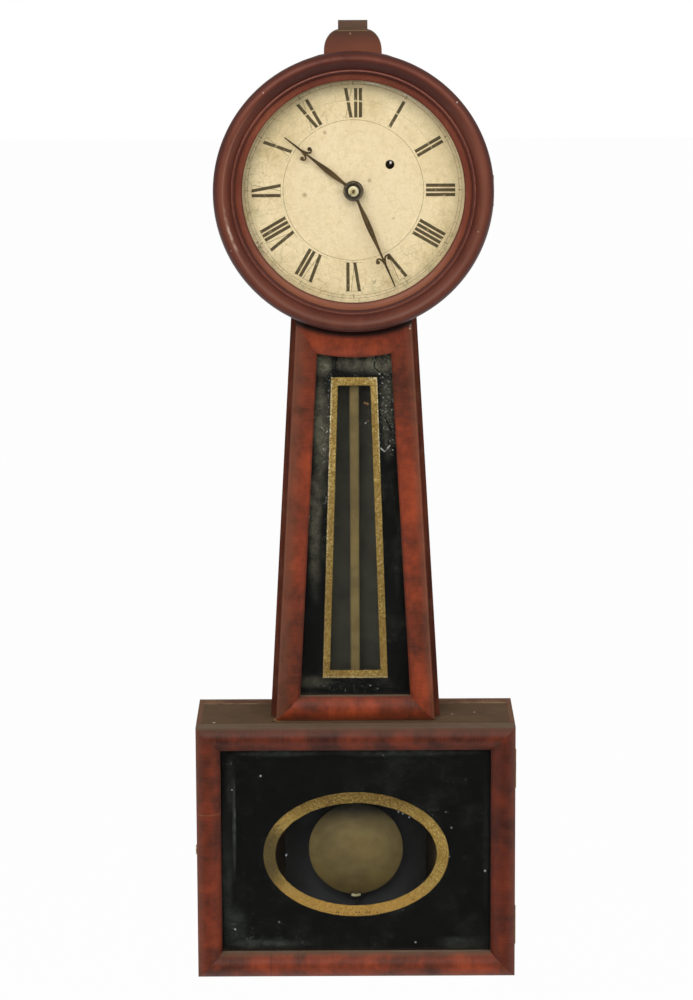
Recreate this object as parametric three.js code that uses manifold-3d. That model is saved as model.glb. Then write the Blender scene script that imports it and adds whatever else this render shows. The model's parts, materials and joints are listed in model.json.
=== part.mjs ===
// A wall clock of banjo form: round head, tapered throat and square box, with a weight-driven movement.
// Millimetres. The wall is the plane y = 0, the front faces -y, z is up, and the hands turn at x = z = 0.
import * as THREE from "three";
import { mergeVertices } from "three/addons/utils/BufferGeometryUtils.js";
import Module from "manifold-3d";

const wasm = await Module();
wasm.setup();

// Case, as depths from the wall and sizes across the front
const backboardThick = 16;
const glue = 0.1; // joint line between glued or seated pieces
const overrun = 4; // how far a cutting tool runs past what it cuts
const boxHalf = 127.2;
const boxTopDrop = 424.5; // from the hands' centre down to the top of the box
const boxHeight = 206.4;
const boxDepth = 78;
const boxSideThick = 8;
const boxTopThick = 6;
const boxTopRebate = 4;
const boxBottomThick = 9;
const slotHalf = 57;
const slotWallGap = 2;
const slotFrontShelf = 12;

// Head
const headRadius = 104;
const headWall = 14;
const headDepth = 74.5;
const dialInset = 9;
const dialRadius = headRadius - dialInset;
const dialThick = 1.2;
const dialSeatDepth = 65; // from the wall to the back of the dial
const dialFit = 0.4;
const dialHoleFit = 0.6;
const headWindowHalf = 41;
const headWindowFrontWall = 3;
const headWindowTopDrop = 62;
const headFit = 0.3; // round the head, where the throat and the plinth are cut to its curve

// Plinth on the head, with its small block
const plinthHalf = 22.4;
const plinthRise = 20;
const plinthTop = headRadius + plinthRise;
const plinthCornerWide = 12.9;
const plinthCornerHigh = 16;
const plinthFrontDepth = 66.5;
const plinthBackDepth = 50;
const blockHalf = 11.4;
const blockHigh = 7;
const blockSetback = 3.4;
const blockThick = 10;

// Throat: tapered side boards, and a mitred frame in front of them
const throatHalfTop = 49.7;
const throatTopDrop = 105.3; // the height at which the throat has that half width
const throatHalfBottom = 67.9;
const throatBoardThick = 6;
const throatBackTopDrop = 52; // where the backboard's throat runs into its round head
const throatDepth = 57;
const throatBoardShow = 4.3; // what the frame leaves of the side board
const throatFrameThick = 17.6;
const throatMitreLap = 0.8;
const throatMitreDrop = headRadius - throatMitreLap;
const throatOpenHalfTop = 29;
const throatOpenHalfBottom = 44;
const throatOpenBottomDrop = 405.1;
const throatRailTopWide = 27.2;
const throatArchRadius = headRadius + throatRailTopWide; // lower edge of the top rail
const throatGlassDepth = 64; // from the wall to the front of the glass
const throatGlassThick = 2;
const throatGlassMargin = 3.4;
const throatGlassTopLap = 5.2; // above the lowest point of the arched rail
const paintThick = 0.3;

// Door of the box
const doorGap = 0.3;
const doorThick = 19.7;
const doorRailWide = 19.3;
const doorGlassSetback = 12; // from the front of the door to the front of its glass
const doorGlassThick = 2;
const doorGlassMargin = 4;

// Gilt lines on the back of the two glasses
const windowHalfTop = 12.9;
const windowHalfBottom = 20.3;
const windowTopMargin = 23.4; // below the arched rail
const windowBottomMargin = 19.9; // above the bottom rail
const windowTopDrop = throatArchRadius + windowTopMargin;
const windowBottomDrop = throatOpenBottomDrop - windowBottomMargin;
const giltWide = 5.4;
const giltWideEnd = 6.4;
const ovalHalfWide = 64.9;
const ovalHalfHigh = 42.6;
const ovalBelowMiddle = 4.1; // of the box
const ovalDrop = boxTopDrop + boxHeight / 2 + ovalBelowMiddle;
const ovalBandWide = 9.4;
const ovalBandHigh = 8.9;

// Bezel, turned, and its domed glass
const bezelGap = 0.5;
const bezelOverhang = 5; // past the head
const bezelRadius = headRadius + bezelOverhang;
const bezelBackSetback = 1.5;
const bezelHigh = 17.6; // back of the bezel to the crest of its big round
const bezelRoundWide = 13.5;
const bezelRoundInner = bezelRadius - bezelRoundWide;
const bezelQuirk = 0.5;
const bezelBeadHalf = 1.3;
const bezelBeadRadius = bezelRoundInner - bezelQuirk - bezelBeadHalf;
const bezelBeadHigh = 12.4;
const bezelFillet = 0.8;
const bezelCoveRadius = bezelBeadRadius - bezelBeadHalf - bezelFillet;
const bezelCoveHigh = 11.4;
const bezelCoveWide = 5.2;
const bezelSightRadius = bezelCoveRadius - bezelCoveWide;
const bezelSightHigh = 6.8;
const bezelLipHigh = 5;
const bezelRebate = 4.6; // past the sight edge
const bezelRebateRadius = bezelSightRadius + bezelRebate;
const bezelGlassFit = 0.5;
const bezelGlassRadius = bezelRebateRadius - bezelGlassFit;
const bezelGlassThick = 1.8;
const bezelGlassRise = 6.5;

// Butt hinges: knuckle axis just outside the corner that swings
const hingeKnuckle = 1.2;
const hingePin = 0.6;
const hingePinFit = 0.2;
const hingeLeafThick = 1;
const hingeLeafWide = 7;
const hingeLeafHigh = 32;
const hingeMortiseFit = 0.3;
const hingeSplitGap = 0.3;
const hingeAxisStandoff = 0.1;
const doorHingeInset = 22; // from the door's ends to the ends of its hinges
const bezelHingeHigh = 24;
const bezelHingeLeafWide = 10;
const bezelHingeInset = 1.1;
const bezelHingeAxisX = bezelRadius - bezelHingeInset;

// Turn latch in the left side of the box, with its keeper pin in the door
const latchBelowMiddle = 3.2; // of the box's side
const latchDrop = boxTopDrop + boxHeight / 2 + latchBelowMiddle;
const latchSetback = 6; // from the box's front edge
const latchAxisDepth = boxDepth - latchSetback;
const latchKnobRadius = 4;
const latchKnobHigh = 1.4;
const latchShaft = 1.5;
const latchShaftFit = 0.3;
const latchClawInner = 10.4;
const latchClawOuter = 12.8;
const latchClawThick = 2;
const latchClawDegrees = 53;
const latchArmWide = 3;
const latchHub = 3.4;
const latchInset = 1.2; // from the side's inner face to the claw
const keeperRadius = 1;
const keeperReach = 9; // from the latch's axis to the keeper pin
const keeperFit = 0.15;
const keeperSeat = 3;
const mortiseSideFit = 1;
const mortiseFrontFit = 1.6;
const mortiseHalfHigh = 13;

// Movement
const plateFoot = 4;
const plateThick = 2;
const plateSpace = 20;
const plateLeft = 39;
const plateRight = 50;
const plateTop = 62;
const plateBottom = 32;
const plateCorner = 4;
const pillarRadius = 3;
const pillarInset = 6;
const pivotRadius = 1;
const pivotFit = 0.25;
const hubFit = 0.1; // round an arbor or pipe that a hub is pressed on
const arborRadius = 1.6;
const pinionTeethThird = 8;
const pinionTeethEscape = 8;
const pinionTeethCentre = 7;
const greatTeeth = 112;
const centreTeeth = 80;
const thirdTeeth = 64;
const escapeTeeth = 30;
const windingX = 28.5;
const windingZ = 19.9;
const thirdX = -20.5;
const thirdZ = 8;
const escapeX = -12;
const escapeZ = 27;
const swingZ = 42.75; // axis of the pendulum, the crutch and the anchor
const wheelThick = 1.5;
const greatThick = 2;
const pinionLong = 5;
const centrePinionGap = 1; // back plate to the centre wheel's pinion
const greatSetback = 2; // the depths below count from the back plate's front face
const centreSetback = 13.5;
const thirdSetback = 7.5;
const escapeSetback = 17.2;
const escapeRadius = 14.4;
const escapeThick = 1;
const escapeToothHigh = 3;
const escapeArmWide = 1.5;
const drumRadius = 9.25;
const drumLong = 12;
const drumFlange = 11.5;
const drumFlangeThick = 1.2;
const drumGap = 0.5; // great wheel to drum
const windingArbor = 2.2;
const windingSquare = 3.2;
const windingEndGap = 3; // behind the dial
const windingHole = 3.6;
const cordPostDrop = 26;
const cordPostRadius = 1.5;

// Anchor and crutch
const anchorThick = 3;
const anchorArmWide = 4;
const palletClear = 1.5;
const palletSpanDegrees = 48; // from the line of centres to each pallet, about the escape wheel
const palletWide = 2.2;
const crutchLong = 17;
const crutchThick = 1.6;
const crutchWide = 3;
const crutchHub = 3.2;
const crutchPin = 1;
const crutchPinFit = 0.2;
const crutchStandoff = 3;

// Motion work under the dial
const cannonTeeth = 12;
const minuteTeeth = 36;
const minutePinionTeeth = 10;
const hourTeeth = 40;
const motionCentres = 18;
const minuteTurnDegrees = 225; // direction from the centre to the minute wheel
const cannonPipe = 2.9;
const pipeFit = 0.25;
const hourPipe = 4.2;
const motionGap = 1.4; // front plate to the cannon pinion
const motionStep = 0.5;
const motionThick = 1.4;
const cannonLong = 3.2;
const minutePinionLong = 3.4;
const studRadius = 1.4;
const studEnd = 0.5; // past the minute wheel's pinion

// Hands
const handThick = 0.7;
const hourHandGap = 3.6; // dial to the back of the hour hand
const minuteHandGap = 7.6;
const handBoss = 7.8;
const minuteLong = 79.3;
const minuteBarbAt = 56.4;
const hourLong = 67.6;
const hourBarbAt = 48.2;
const handWide = 3.4;
const handNeck = 1.6;
const barbHalf = 4.4;
const barbBack = 3.2;
const minuteDegrees = 156.6; // clockwise from twelve
const hourDegrees = 308;
const colletRadius = 4.1;
const colletThick = 1.6;
const arborNose = 1.6;

// Pendulum
const rodWide = 7.4;
const rodThick = 3;
const rodFrontGap = 9.2; // dial to the front of the rod
const rodTopZ = 34;
const loopHalfWide = 9.4;
const loopHalfHigh = 12;
const loopBand = 3;
const springThick = 0.4;
const springWide = 4;
const springLong = 23;
const springSeat = 4.4; // depth of the slot in the rod's top
const bridgeHalf = 4;
const bridgeHigh = 6;
const bridgeRise = 4.8;
const bridgeFootHalf = 9;
const bridgeFootHigh = 5;
const bridgeFootThick = 2;
const bridgeSlotFit = 0.6;
const bridgeNose = 1; // the bridge past the spring
const bobRadius = 38;
const bobThick = 14;
const bobRimThick = 2.4;
const bobBelowOval = 3.5;
const bobDrop = ovalDrop + bobBelowOval;
const bobSlotFit = 0.3;
const threadRadius = 1.5;
const threadInBob = 3;
const threadLong = 16;
const nutRadius = 3.8;
const nutHigh = 3;

// Weight, its pulley and cord, and the sheet between them and the pendulum
const weightHalfTop = 26;
const weightHalfBottom = 29;
const weightThick = 24;
const weightHigh = 150;
const weightFloorGap = 8;
const weightBackGap = 3;
const pulleyGroove = 13;
const pulleyRim = 1.8;
const pulleyThick = 5;
const pulleyAbove = 19;
const cheekThick = 1.6;
const cheekWide = 7;
const cheekGap = 0.8;
const axleRadius = 1.4;
const cordRadius = 0.8;
const baffleThick = 0.8;
const baffleGap = 1.2;
const baffleTopDrop = 118;
const baffleFloorGap = 24.9;
const baffleBottomDrop = boxTopDrop + boxHeight - baffleFloorGap;

// Hanger plate let into the back of the head
const hangerInset = 26; // from the top of the head to the hole
const hangerZ = headRadius - hangerInset;
const hangerHalfWide = 14;
const hangerHalfHigh = 20;
const hangerThick = 1.5;
const hangerHole = 5.2;
const hangerPocket = 9;
const hangerPocketDeep = 11;

// Steps that round shapes are cut into
const headSteps = 48;
const dialSteps = 40;
const arcSteps = 8;
const pivotSteps = 8;
const ovalSteps = 26;
const bobSteps = 32;

// Finishes
const finish = (color, roughness, metalness = 0) =>
  new THREE.MeshStandardMaterial({ color, roughness, metalness });
const mahogany = finish(0x6e3226, 0.4);
const mahoganyDark = finish(0x4c2a1e, 0.45);
const pine = finish(0x5a4a3a, 0.8);
const dialPaint = finish(0xdccb9e, 0.55);
const clearGlass = finish(0xb8c0bc, 0.08);
const blackPaint = finish(0x0d0d0d, 0.3);
const gilt = finish(0xa58237, 0.35, 0.8);
const brass = finish(0x9a8450, 0.35, 0.9);
const agedBrass = finish(0x73683e, 0.5, 0.8);
const steel = finish(0x6b6c6e, 0.35, 0.9);
const blued = finish(0x23221d, 0.35, 0.7);
const iron = finish(0x3c3a37, 0.6, 0.6);
const cordFinish = finish(0x8a7a5a, 0.9);

// Depths as y values, worked out from the sizes above
const boardFront = -backboardThick - glue;
const boxFront = -boxDepth;
const boxTopZ = -boxTopDrop;
const boxBottomZ = boxTopZ - boxHeight;
const headFront = -headDepth;
const dialBack = -dialSeatDepth - glue;
const dialFront = dialBack - dialThick;
const throatFront = -throatDepth;
const throatFrameBack = throatFront - glue;
const throatFrameFront = throatFrameBack - throatFrameThick;
const throatGlassFront = -throatGlassDepth;
const throatGlassBack = throatGlassFront + throatGlassThick;
const doorBack = boxFront - doorGap;
const doorFront = doorBack - doorThick;
const doorTopZ = boxTopZ - doorGap;
const doorBottomZ = boxBottomZ;
const doorGlassFront = doorFront + doorGlassSetback;
const doorGlassBack = doorGlassFront + doorGlassThick;
const bezelBack = headFront - bezelGap;
const backPlateBack = -backboardThick - glue - plateFoot;
const backPlateFront = backPlateBack - plateThick;
const frontPlateBack = backPlateFront - plateSpace;
const frontPlateFront = frontPlateBack - plateThick;
const rodFront = dialBack + rodFrontGap;
const rodBack = rodFront + rodThick;
const rodMiddle = (rodFront + rodBack) / 2;
const weightBack = -backboardThick - weightBackGap;
const weightFront = weightBack - weightThick;
const weightMiddle = (weightBack + weightFront) / 2;
const cordRightX = windingX - drumRadius - cordRadius;
const weightX = cordRightX - pulleyGroove;
const cordLeftX = weightX - pulleyGroove;
const weightBottomZ = boxBottomZ + boxBottomThick + weightFloorGap;
const weightTopZ = weightBottomZ + weightHigh;
const pulleyZ = weightTopZ + pulleyAbove;

const part = new THREE.Group();

function add(name, geometry, material, x = 0, z = 0) {
  const mesh = new THREE.Mesh(geometry, material);
  mesh.name = name;
  mesh.position.set(x, 0, z);
  part.add(mesh);
}

function solid(geometry) {
  const bare = geometry.clone();
  bare.deleteAttribute("normal");
  bare.deleteAttribute("uv");
  const merged = mergeVertices(bare);
  return new wasm.Manifold(
    new wasm.Mesh({
      numProp: 3,
      vertProperties: merged.attributes.position.array,
      triVerts: new Uint32Array(merged.index.array),
    }),
  );
}

function meshed(body) {
  const mesh = body.getMesh();
  return new THREE.BufferGeometry()
    .setAttribute("position", new THREE.BufferAttribute(mesh.vertProperties, mesh.numProp))
    .setIndex(new THREE.BufferAttribute(mesh.triVerts, 1));
}

const join = (...pieces) => meshed(pieces.map(solid).reduce((all, piece) => all.add(piece)));
const cut = (piece, ...tools) =>
  meshed(tools.map(solid).reduce((left, tool) => left.subtract(tool), solid(piece)));

// A shape drawn in x and z, made solid from y = back to y = front
function slab(shape, back, front, curveSegments = arcSteps) {
  const depth = back - front;
  const geometry = new THREE.ExtrudeGeometry(shape, { depth, bevelEnabled: false, curveSegments });
  geometry.rotateX(Math.PI / 2);
  geometry.translate(0, back, 0);
  return geometry;
}

function block(left, right, back, front, bottom, top) {
  const geometry = new THREE.BoxGeometry(right - left, back - front, top - bottom);
  geometry.translate((left + right) / 2, (back + front) / 2, (bottom + top) / 2);
  return geometry;
}

// A profile of [radius, y] points turned about the y axis
function turned(points, steps) {
  const profile = points.map(([radius, y]) => new THREE.Vector2(radius, y));
  if (THREE.ShapeUtils.area(profile) < 0) profile.reverse();
  if (points[0][0] > 0) profile.push(profile[0].clone());
  return new THREE.LatheGeometry(profile, steps);
}

function rod(radius, back, front, steps = pivotSteps) {
  const geometry = new THREE.CylinderGeometry(radius, radius, back - front, steps);
  geometry.translate(0, (back + front) / 2, 0);
  return geometry;
}

function crossRod(radius, left, right, y, z, steps = pivotSteps) {
  const geometry = new THREE.CylinderGeometry(radius, radius, right - left, steps);
  geometry.rotateZ(Math.PI / 2);
  geometry.translate((left + right) / 2, y, z);
  return geometry;
}

function uprightRod(radius, x, y, bottom, top, steps = pivotSteps) {
  const geometry = new THREE.CylinderGeometry(radius, radius, top - bottom, steps);
  geometry.rotateX(Math.PI / 2);
  geometry.translate(x, y, (bottom + top) / 2);
  return geometry;
}

const polar = (radius, angle) => new THREE.Vector2(radius * Math.cos(angle), radius * Math.sin(angle));
const outline = (points) => new THREE.Shape(points.map(([x, z]) => new THREE.Vector2(x, z)));

function disc(radius, hole = 0, x = 0, z = 0) {
  const shape = new THREE.Shape();
  shape.absarc(x, z, radius, 0, 2 * Math.PI);
  if (hole > 0) shape.holes.push(roundHole(hole, x, z));
  return shape;
}

function roundHole(radius, x, z) {
  const path = new THREE.Path();
  path.absarc(x, z, radius, 0, 2 * Math.PI, true);
  return path;
}

// A moulding run from station to station. A station has an outer and an inner point in x and z, and the
// section's points are a share of the way from outer to inner, and a depth y.
function moulding(stations, section) {
  const contour = section.map(([share, y]) => new THREE.Vector2(share, y));
  if (THREE.ShapeUtils.area(contour) > 0) contour.reverse();
  const count = contour.length;
  const positions = [];
  for (const { outer, inner } of stations) {
    for (const point of contour) {
      positions.push(
        outer[0] + (inner[0] - outer[0]) * point.x,
        point.y,
        outer[1] + (inner[1] - outer[1]) * point.x,
      );
    }
  }
  const faces = [];
  for (let run = 0; run + 1 < stations.length; run++) {
    for (let i = 0; i < count; i++) {
      const a = run * count + i;
      const b = run * count + ((i + 1) % count);
      faces.push(a, b, b + count, a, b + count, a + count);
    }
  }
  const last = (stations.length - 1) * count;
  for (const corners of THREE.ShapeUtils.triangulateShape(contour, [])) {
    const clockwise = THREE.ShapeUtils.area(corners.map((i) => contour[i])) < 0;
    const [a, b, c] = clockwise ? corners : corners.reverse();
    faces.push(a, c, b, last + a, last + b, last + c);
  }
  const geometry = new THREE.BufferGeometry();
  geometry.setAttribute("position", new THREE.BufferAttribute(new Float32Array(positions), 3));
  geometry.setIndex(faces);
  if (solid(geometry).volume() < 0) {
    for (let i = 0; i < faces.length; i += 3) [faces[i], faces[i + 1]] = [faces[i + 1], faces[i]];
    geometry.setIndex(faces);
  }
  return geometry;
}

// Half width of the throat's side boards, and of the frame in front of them, at a height
const throatSlope = (throatHalfBottom - throatHalfTop) / (boxTopDrop - throatTopDrop);
const throatHalfAt = (z) => throatHalfTop + throatSlope * (-z - throatTopDrop);
const frameHalfAt = (z) => throatHalfAt(z) - throatBoardShow;
const mirrored = ([x, z]) => [-x, z];

function buildCase() {
  const throatTopZ = -throatBackTopDrop;
  const boardBox = outline([
    [-boxHalf + boxSideThick + glue, boxBottomZ + boxBottomThick + glue],
    [boxHalf - boxSideThick - glue, boxBottomZ + boxBottomThick + glue],
    [boxHalf - boxSideThick - glue, boxTopZ - boxTopThick],
    [boxHalf - boxTopRebate - glue, boxTopZ - boxTopThick],
    [boxHalf - boxTopRebate - glue, boxTopZ],
    [throatHalfAt(boxTopZ), boxTopZ],
    [throatHalfAt(throatTopZ), throatTopZ],
    [-throatHalfAt(throatTopZ), throatTopZ],
    [-throatHalfAt(boxTopZ), boxTopZ],
    [-boxHalf + boxTopRebate + glue, boxTopZ],
    [-boxHalf + boxTopRebate + glue, boxTopZ - boxTopThick],
    [-boxHalf + boxSideThick + glue, boxTopZ - boxTopThick],
  ]);
  const board = join(rod(headRadius, 0, -backboardThick, headSteps), slab(boardBox, 0, -backboardThick));
  const hangerRecess = block(
    -hangerHalfWide - glue, hangerHalfWide + glue, overrun, -hangerThick - glue,
    hangerZ - hangerHalfHigh - glue, hangerZ + hangerHalfHigh + glue,
  );
  const pocket = rod(hangerPocket, overrun, -hangerPocketDeep, 2 * pivotSteps);
  pocket.translate(0, 0, hangerZ);
  add("backboard", cut(board, hangerRecess, pocket), mahoganyDark);

  const hangerShape = outline([
    [-hangerHalfWide, -hangerHalfHigh],
    [hangerHalfWide, -hangerHalfHigh],
    [hangerHalfWide, hangerHalfHigh],
    [-hangerHalfWide, hangerHalfHigh],
  ]);
  hangerShape.holes.push(roundHole(hangerHole, 0, 0));
  add("hanger_plate", slab(hangerShape, -glue, -hangerThick), iron, 0, hangerZ);

  const ringInner = headRadius - headWall;
  const ring = turned(
    [
      [ringInner, boardFront],
      [headRadius, boardFront],
      [headRadius, headFront],
      [dialRadius + dialFit, headFront],
      [dialRadius + dialFit, -dialSeatDepth],
      [ringInner, -dialSeatDepth],
    ],
    headSteps,
  );
  const window = block(
    -headWindowHalf, headWindowHalf, boardFront - glue, -dialSeatDepth + headWindowFrontWall,
    -headRadius - overrun, -headWindowTopDrop,
  );
  const leafBed = block(
    bezelHingeAxisX - bezelHingeLeafWide - hingeMortiseFit, headRadius + overrun,
    headFront + hingeLeafThick + hingeMortiseFit, headFront - overrun,
    -bezelHingeHigh / 2 - hingeMortiseFit, bezelHingeHigh / 2 + hingeMortiseFit,
  );
  add("head_ring", cut(ring, window, leafBed), mahogany);

  for (const [side, name] of [[-1, "left"], [1, "right"]]) {
    const edge = [
      [side * throatHalfAt(-headWindowTopDrop), -headWindowTopDrop],
      [side * throatHalfAt(boxTopZ + glue), boxTopZ + glue],
      [side * (throatHalfAt(boxTopZ + glue) - throatBoardThick), boxTopZ + glue],
      [side * (throatHalfAt(-headWindowTopDrop) - throatBoardThick), -headWindowTopDrop],
    ];
    const board = slab(outline(edge), boardFront, throatFront);
    const headClear = rod(headRadius + headFit, overrun, throatFront - overrun, headSteps);
    add("throat_side_" + name, cut(board, headClear), mahogany);

    const boxOuter = side * boxHalf;
    const sideBoard = slab(
      outline([
        [boxOuter, boxTopZ],
        [boxOuter, boxBottomZ],
        [boxOuter - side * boxSideThick, boxBottomZ],
        [boxOuter - side * boxSideThick, boxTopZ - boxTopThick - glue],
        [boxOuter - side * boxTopRebate, boxTopZ - boxTopThick - glue],
        [boxOuter - side * boxTopRebate, boxTopZ],
      ]),
      0,
      boxFront,
    );
    add("box_side_" + name, cut(sideBoard, ...(side > 0 ? doorHingeBeds(false) : [latchBore()])), mahogany);
  }

  const topPanel = block(
    -boxHalf + boxTopRebate + glue, boxHalf - boxTopRebate - glue, boardFront, boxFront,
    boxTopZ - boxTopThick, boxTopZ,
  );
  const slot = block(
    -slotHalf, slotHalf, boardFront - slotWallGap, boxFront + slotFrontShelf,
    boxTopZ - boxTopThick - overrun, boxTopZ + overrun,
  );
  add("box_top", cut(topPanel, slot), pine);
  add(
    "box_bottom",
    block(
      -boxHalf + boxSideThick + glue, boxHalf - boxSideThick - glue, 0, boxFront,
      boxBottomZ, boxBottomZ + boxBottomThick,
    ),
    mahoganyDark,
  );
}

function buildPlinth() {
  const shape = new THREE.Shape();
  const shoulder = plinthTop - plinthCornerHigh;
  shape.moveTo(-plinthHalf, 0);
  shape.lineTo(plinthHalf, 0);
  shape.lineTo(plinthHalf, shoulder);
  shape.absellipse(
    plinthHalf - plinthCornerWide, shoulder, plinthCornerWide, plinthCornerHigh, 0, Math.PI / 2,
  );
  shape.absellipse(
    -plinthHalf + plinthCornerWide, shoulder, plinthCornerWide, plinthCornerHigh, Math.PI / 2, Math.PI,
  );
  const body = slab(shape, -plinthBackDepth, -plinthFrontDepth);
  const saddle = rod(headRadius + headFit, 0, -plinthFrontDepth - overrun, headSteps);
  add("plinth", cut(body, saddle), mahogany);
  const blockFront = -plinthFrontDepth + blockSetback;
  add(
    "plinth_block",
    block(
      -blockHalf, blockHalf, blockFront + blockThick, blockFront, plinthTop + glue, plinthTop + blockHigh,
    ),
    mahoganyDark,
  );
}

// The section of a cushion moulding with a rebate for glass behind its inner edge
function cushionSection(back, front, glassFront, rebateShare, edgeShare, innerShare) {
  const high = back - front;
  const section = [[0, back], [0, back - high * edgeShare]];
  const steps = 7;
  for (let i = 1; i < steps; i++) {
    const t = i / steps;
    const start = high * edgeShare;
    const end = high * innerShare;
    const level = start + (end - start) * t;
    const crown = (high - (start + end) / 2) * 4 * t * (1 - t);
    section.push([t, back - Math.min(high, level + crown)]);
  }
  section.push([1, back - high * innerShare], [1, glassFront]);
  section.push([1 - rebateShare, glassFront], [1 - rebateShare, back]);
  return section;
}

function buildThroat() {
  const rebateShare = 0.23;
  const edgeShare = 0.82;
  const innerShare = 0.72;
  const section = cushionSection(
    throatFrameBack, throatFrameFront, throatGlassFront - glue, rebateShare, edgeShare, innerShare,
  );
  const openTopZ = -Math.sqrt(throatArchRadius ** 2 - throatOpenHalfTop ** 2);
  const topCorner = {
    outer: [frameHalfAt(-throatMitreDrop), -throatMitreDrop],
    inner: [throatOpenHalfTop, openTopZ],
  };
  const bottomZ = boxTopZ + glue;
  const bottomCorner = {
    outer: [frameHalfAt(bottomZ), bottomZ],
    inner: [throatOpenHalfBottom, -throatOpenBottomDrop],
  };
  const flip = ({ outer, inner }) => ({ outer: mirrored(outer), inner: mirrored(inner) });
  add("throat_stile_right", moulding([topCorner, bottomCorner], section), mahogany);
  add("throat_stile_left", moulding([flip(topCorner), flip(bottomCorner)], section), mahogany);
  add("throat_rail_bottom", moulding([flip(bottomCorner), bottomCorner], section), mahogany);

  const stations = [flip(topCorner)];
  const railTopRadius = headRadius + headFit;
  const outerAngle = Math.asin(frameHalfAt(-railTopRadius) / railTopRadius);
  const innerAngle = Math.asin(throatOpenHalfTop / throatArchRadius);
  const railSteps = 12;
  for (let i = 0; i <= railSteps; i++) {
    const t = (2 * i) / railSteps - 1;
    const innerT = (2 * (i + 1)) / (railSteps + 2) - 1;
    const outer = polar(railTopRadius, outerAngle * t - Math.PI / 2);
    const inner = polar(throatArchRadius, innerAngle * innerT - Math.PI / 2);
    stations.push({ outer: [outer.x, outer.y], inner: [inner.x, inner.y] });
  }
  stations.push(topCorner);
  add("throat_rail_top", moulding(stations, section), mahogany);

  const paneHalfTop = throatOpenHalfTop + throatGlassMargin;
  const paneHalfBottom = throatOpenHalfBottom + throatGlassMargin;
  const paneTopZ = -throatArchRadius + throatGlassTopLap;
  const paneBottomZ = -throatOpenBottomDrop - throatGlassMargin;
  const pane = () =>
    outline([
      [-paneHalfBottom, paneBottomZ],
      [paneHalfBottom, paneBottomZ],
      [paneHalfTop, paneTopZ],
      [-paneHalfTop, paneTopZ],
    ]);
  add("throat_glass", slab(pane(), throatGlassBack, throatGlassFront), clearGlass);
  const windowLine = (side, end) => [
    [-windowHalfBottom - side, -windowBottomDrop - end],
    [windowHalfBottom + side, -windowBottomDrop - end],
    [windowHalfTop + side, -windowTopDrop + end],
    [-windowHalfTop - side, -windowTopDrop + end],
  ];
  const hole = (points) => new THREE.Path(points.reverse().map(([x, z]) => new THREE.Vector2(x, z)));
  const paintBack = throatGlassBack + glue + paintThick;
  const paint = pane();
  paint.holes.push(hole(windowLine(giltWide, giltWideEnd)));
  add("throat_tablet_paint", slab(paint, paintBack, throatGlassBack + glue), blackPaint);
  const border = outline(windowLine(giltWide - glue, giltWideEnd - glue));
  border.holes.push(hole(windowLine(0, 0)));
  add("throat_gilt_border", slab(border, paintBack, throatGlassBack + glue), gilt);
}

// Beds cut for the leaves and knuckles of the door's two hinges, in the box side or in the door
function doorHingeBeds(inDoor) {
  const face = inDoor ? doorBack : boxFront;
  const deep = inDoor ? face - hingeLeafThick - hingeMortiseFit : face + hingeLeafThick + hingeMortiseFit;
  return doorHingeBottoms().map((bottom) =>
    block(
      boxHalf - hingeLeafWide - hingeMortiseFit, boxHalf + overrun,
      inDoor ? face + overrun : deep, inDoor ? deep : face - overrun,
      bottom - hingeMortiseFit, bottom + hingeLeafHigh + hingeMortiseFit,
    ),
  );
}

function doorHingeBottoms() {
  return [doorTopZ - doorHingeInset - hingeLeafHigh, doorBottomZ + doorHingeInset];
}

// One butt hinge: the case leaf holds the end knuckles and the pin, the door leaf the middle knuckle
function hingeLeaves(axisX, axisY, leafLeft, caseFace, doorFace, bottom, high) {
  const third = high / 3;
  const top = bottom + high;
  const caseLeaf = block(leafLeft, axisX, caseFace + hingeLeafThick, caseFace + glue, bottom, top);
  const relief = block(
    axisX - hingeKnuckle - hingeSplitGap, axisX + overrun, caseFace + overrun, caseFace - overrun,
    bottom + third, top - third,
  );
  const fixed = join(
    cut(caseLeaf, relief),
    uprightRod(hingeKnuckle, axisX, axisY, bottom, bottom + third),
    uprightRod(hingeKnuckle, axisX, axisY, top - third, top),
    uprightRod(hingePin, axisX, axisY, bottom, top),
  );
  const doorLeaf = block(leafLeft, axisX, doorFace - glue, doorFace - hingeLeafThick, bottom, top);
  const ends = [
    [bottom - overrun, bottom + third + hingeSplitGap],
    [top - third - hingeSplitGap, top + overrun],
  ];
  const reliefs = ends.map(([low, upper]) =>
    block(
      axisX - hingeKnuckle - hingeSplitGap, axisX + overrun,
      doorFace + overrun, doorFace - overrun, low, upper,
    ),
  );
  const middle = join(
    cut(doorLeaf, ...reliefs),
    uprightRod(hingeKnuckle, axisX, axisY, bottom + third + hingeSplitGap, top - third - hingeSplitGap),
  );
  const bore = uprightRod(hingePin + hingePinFit, axisX, axisY, bottom - overrun, top + overrun);
  return { fixed, moving: cut(middle, bore) };
}

const latchZ = -latchDrop;
const latchY = -latchAxisDepth;
const latchBore = () =>
  crossRod(latchShaft + latchShaftFit, -boxHalf - overrun, -boxHalf + boxSideThick + overrun, latchY, latchZ);

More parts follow.
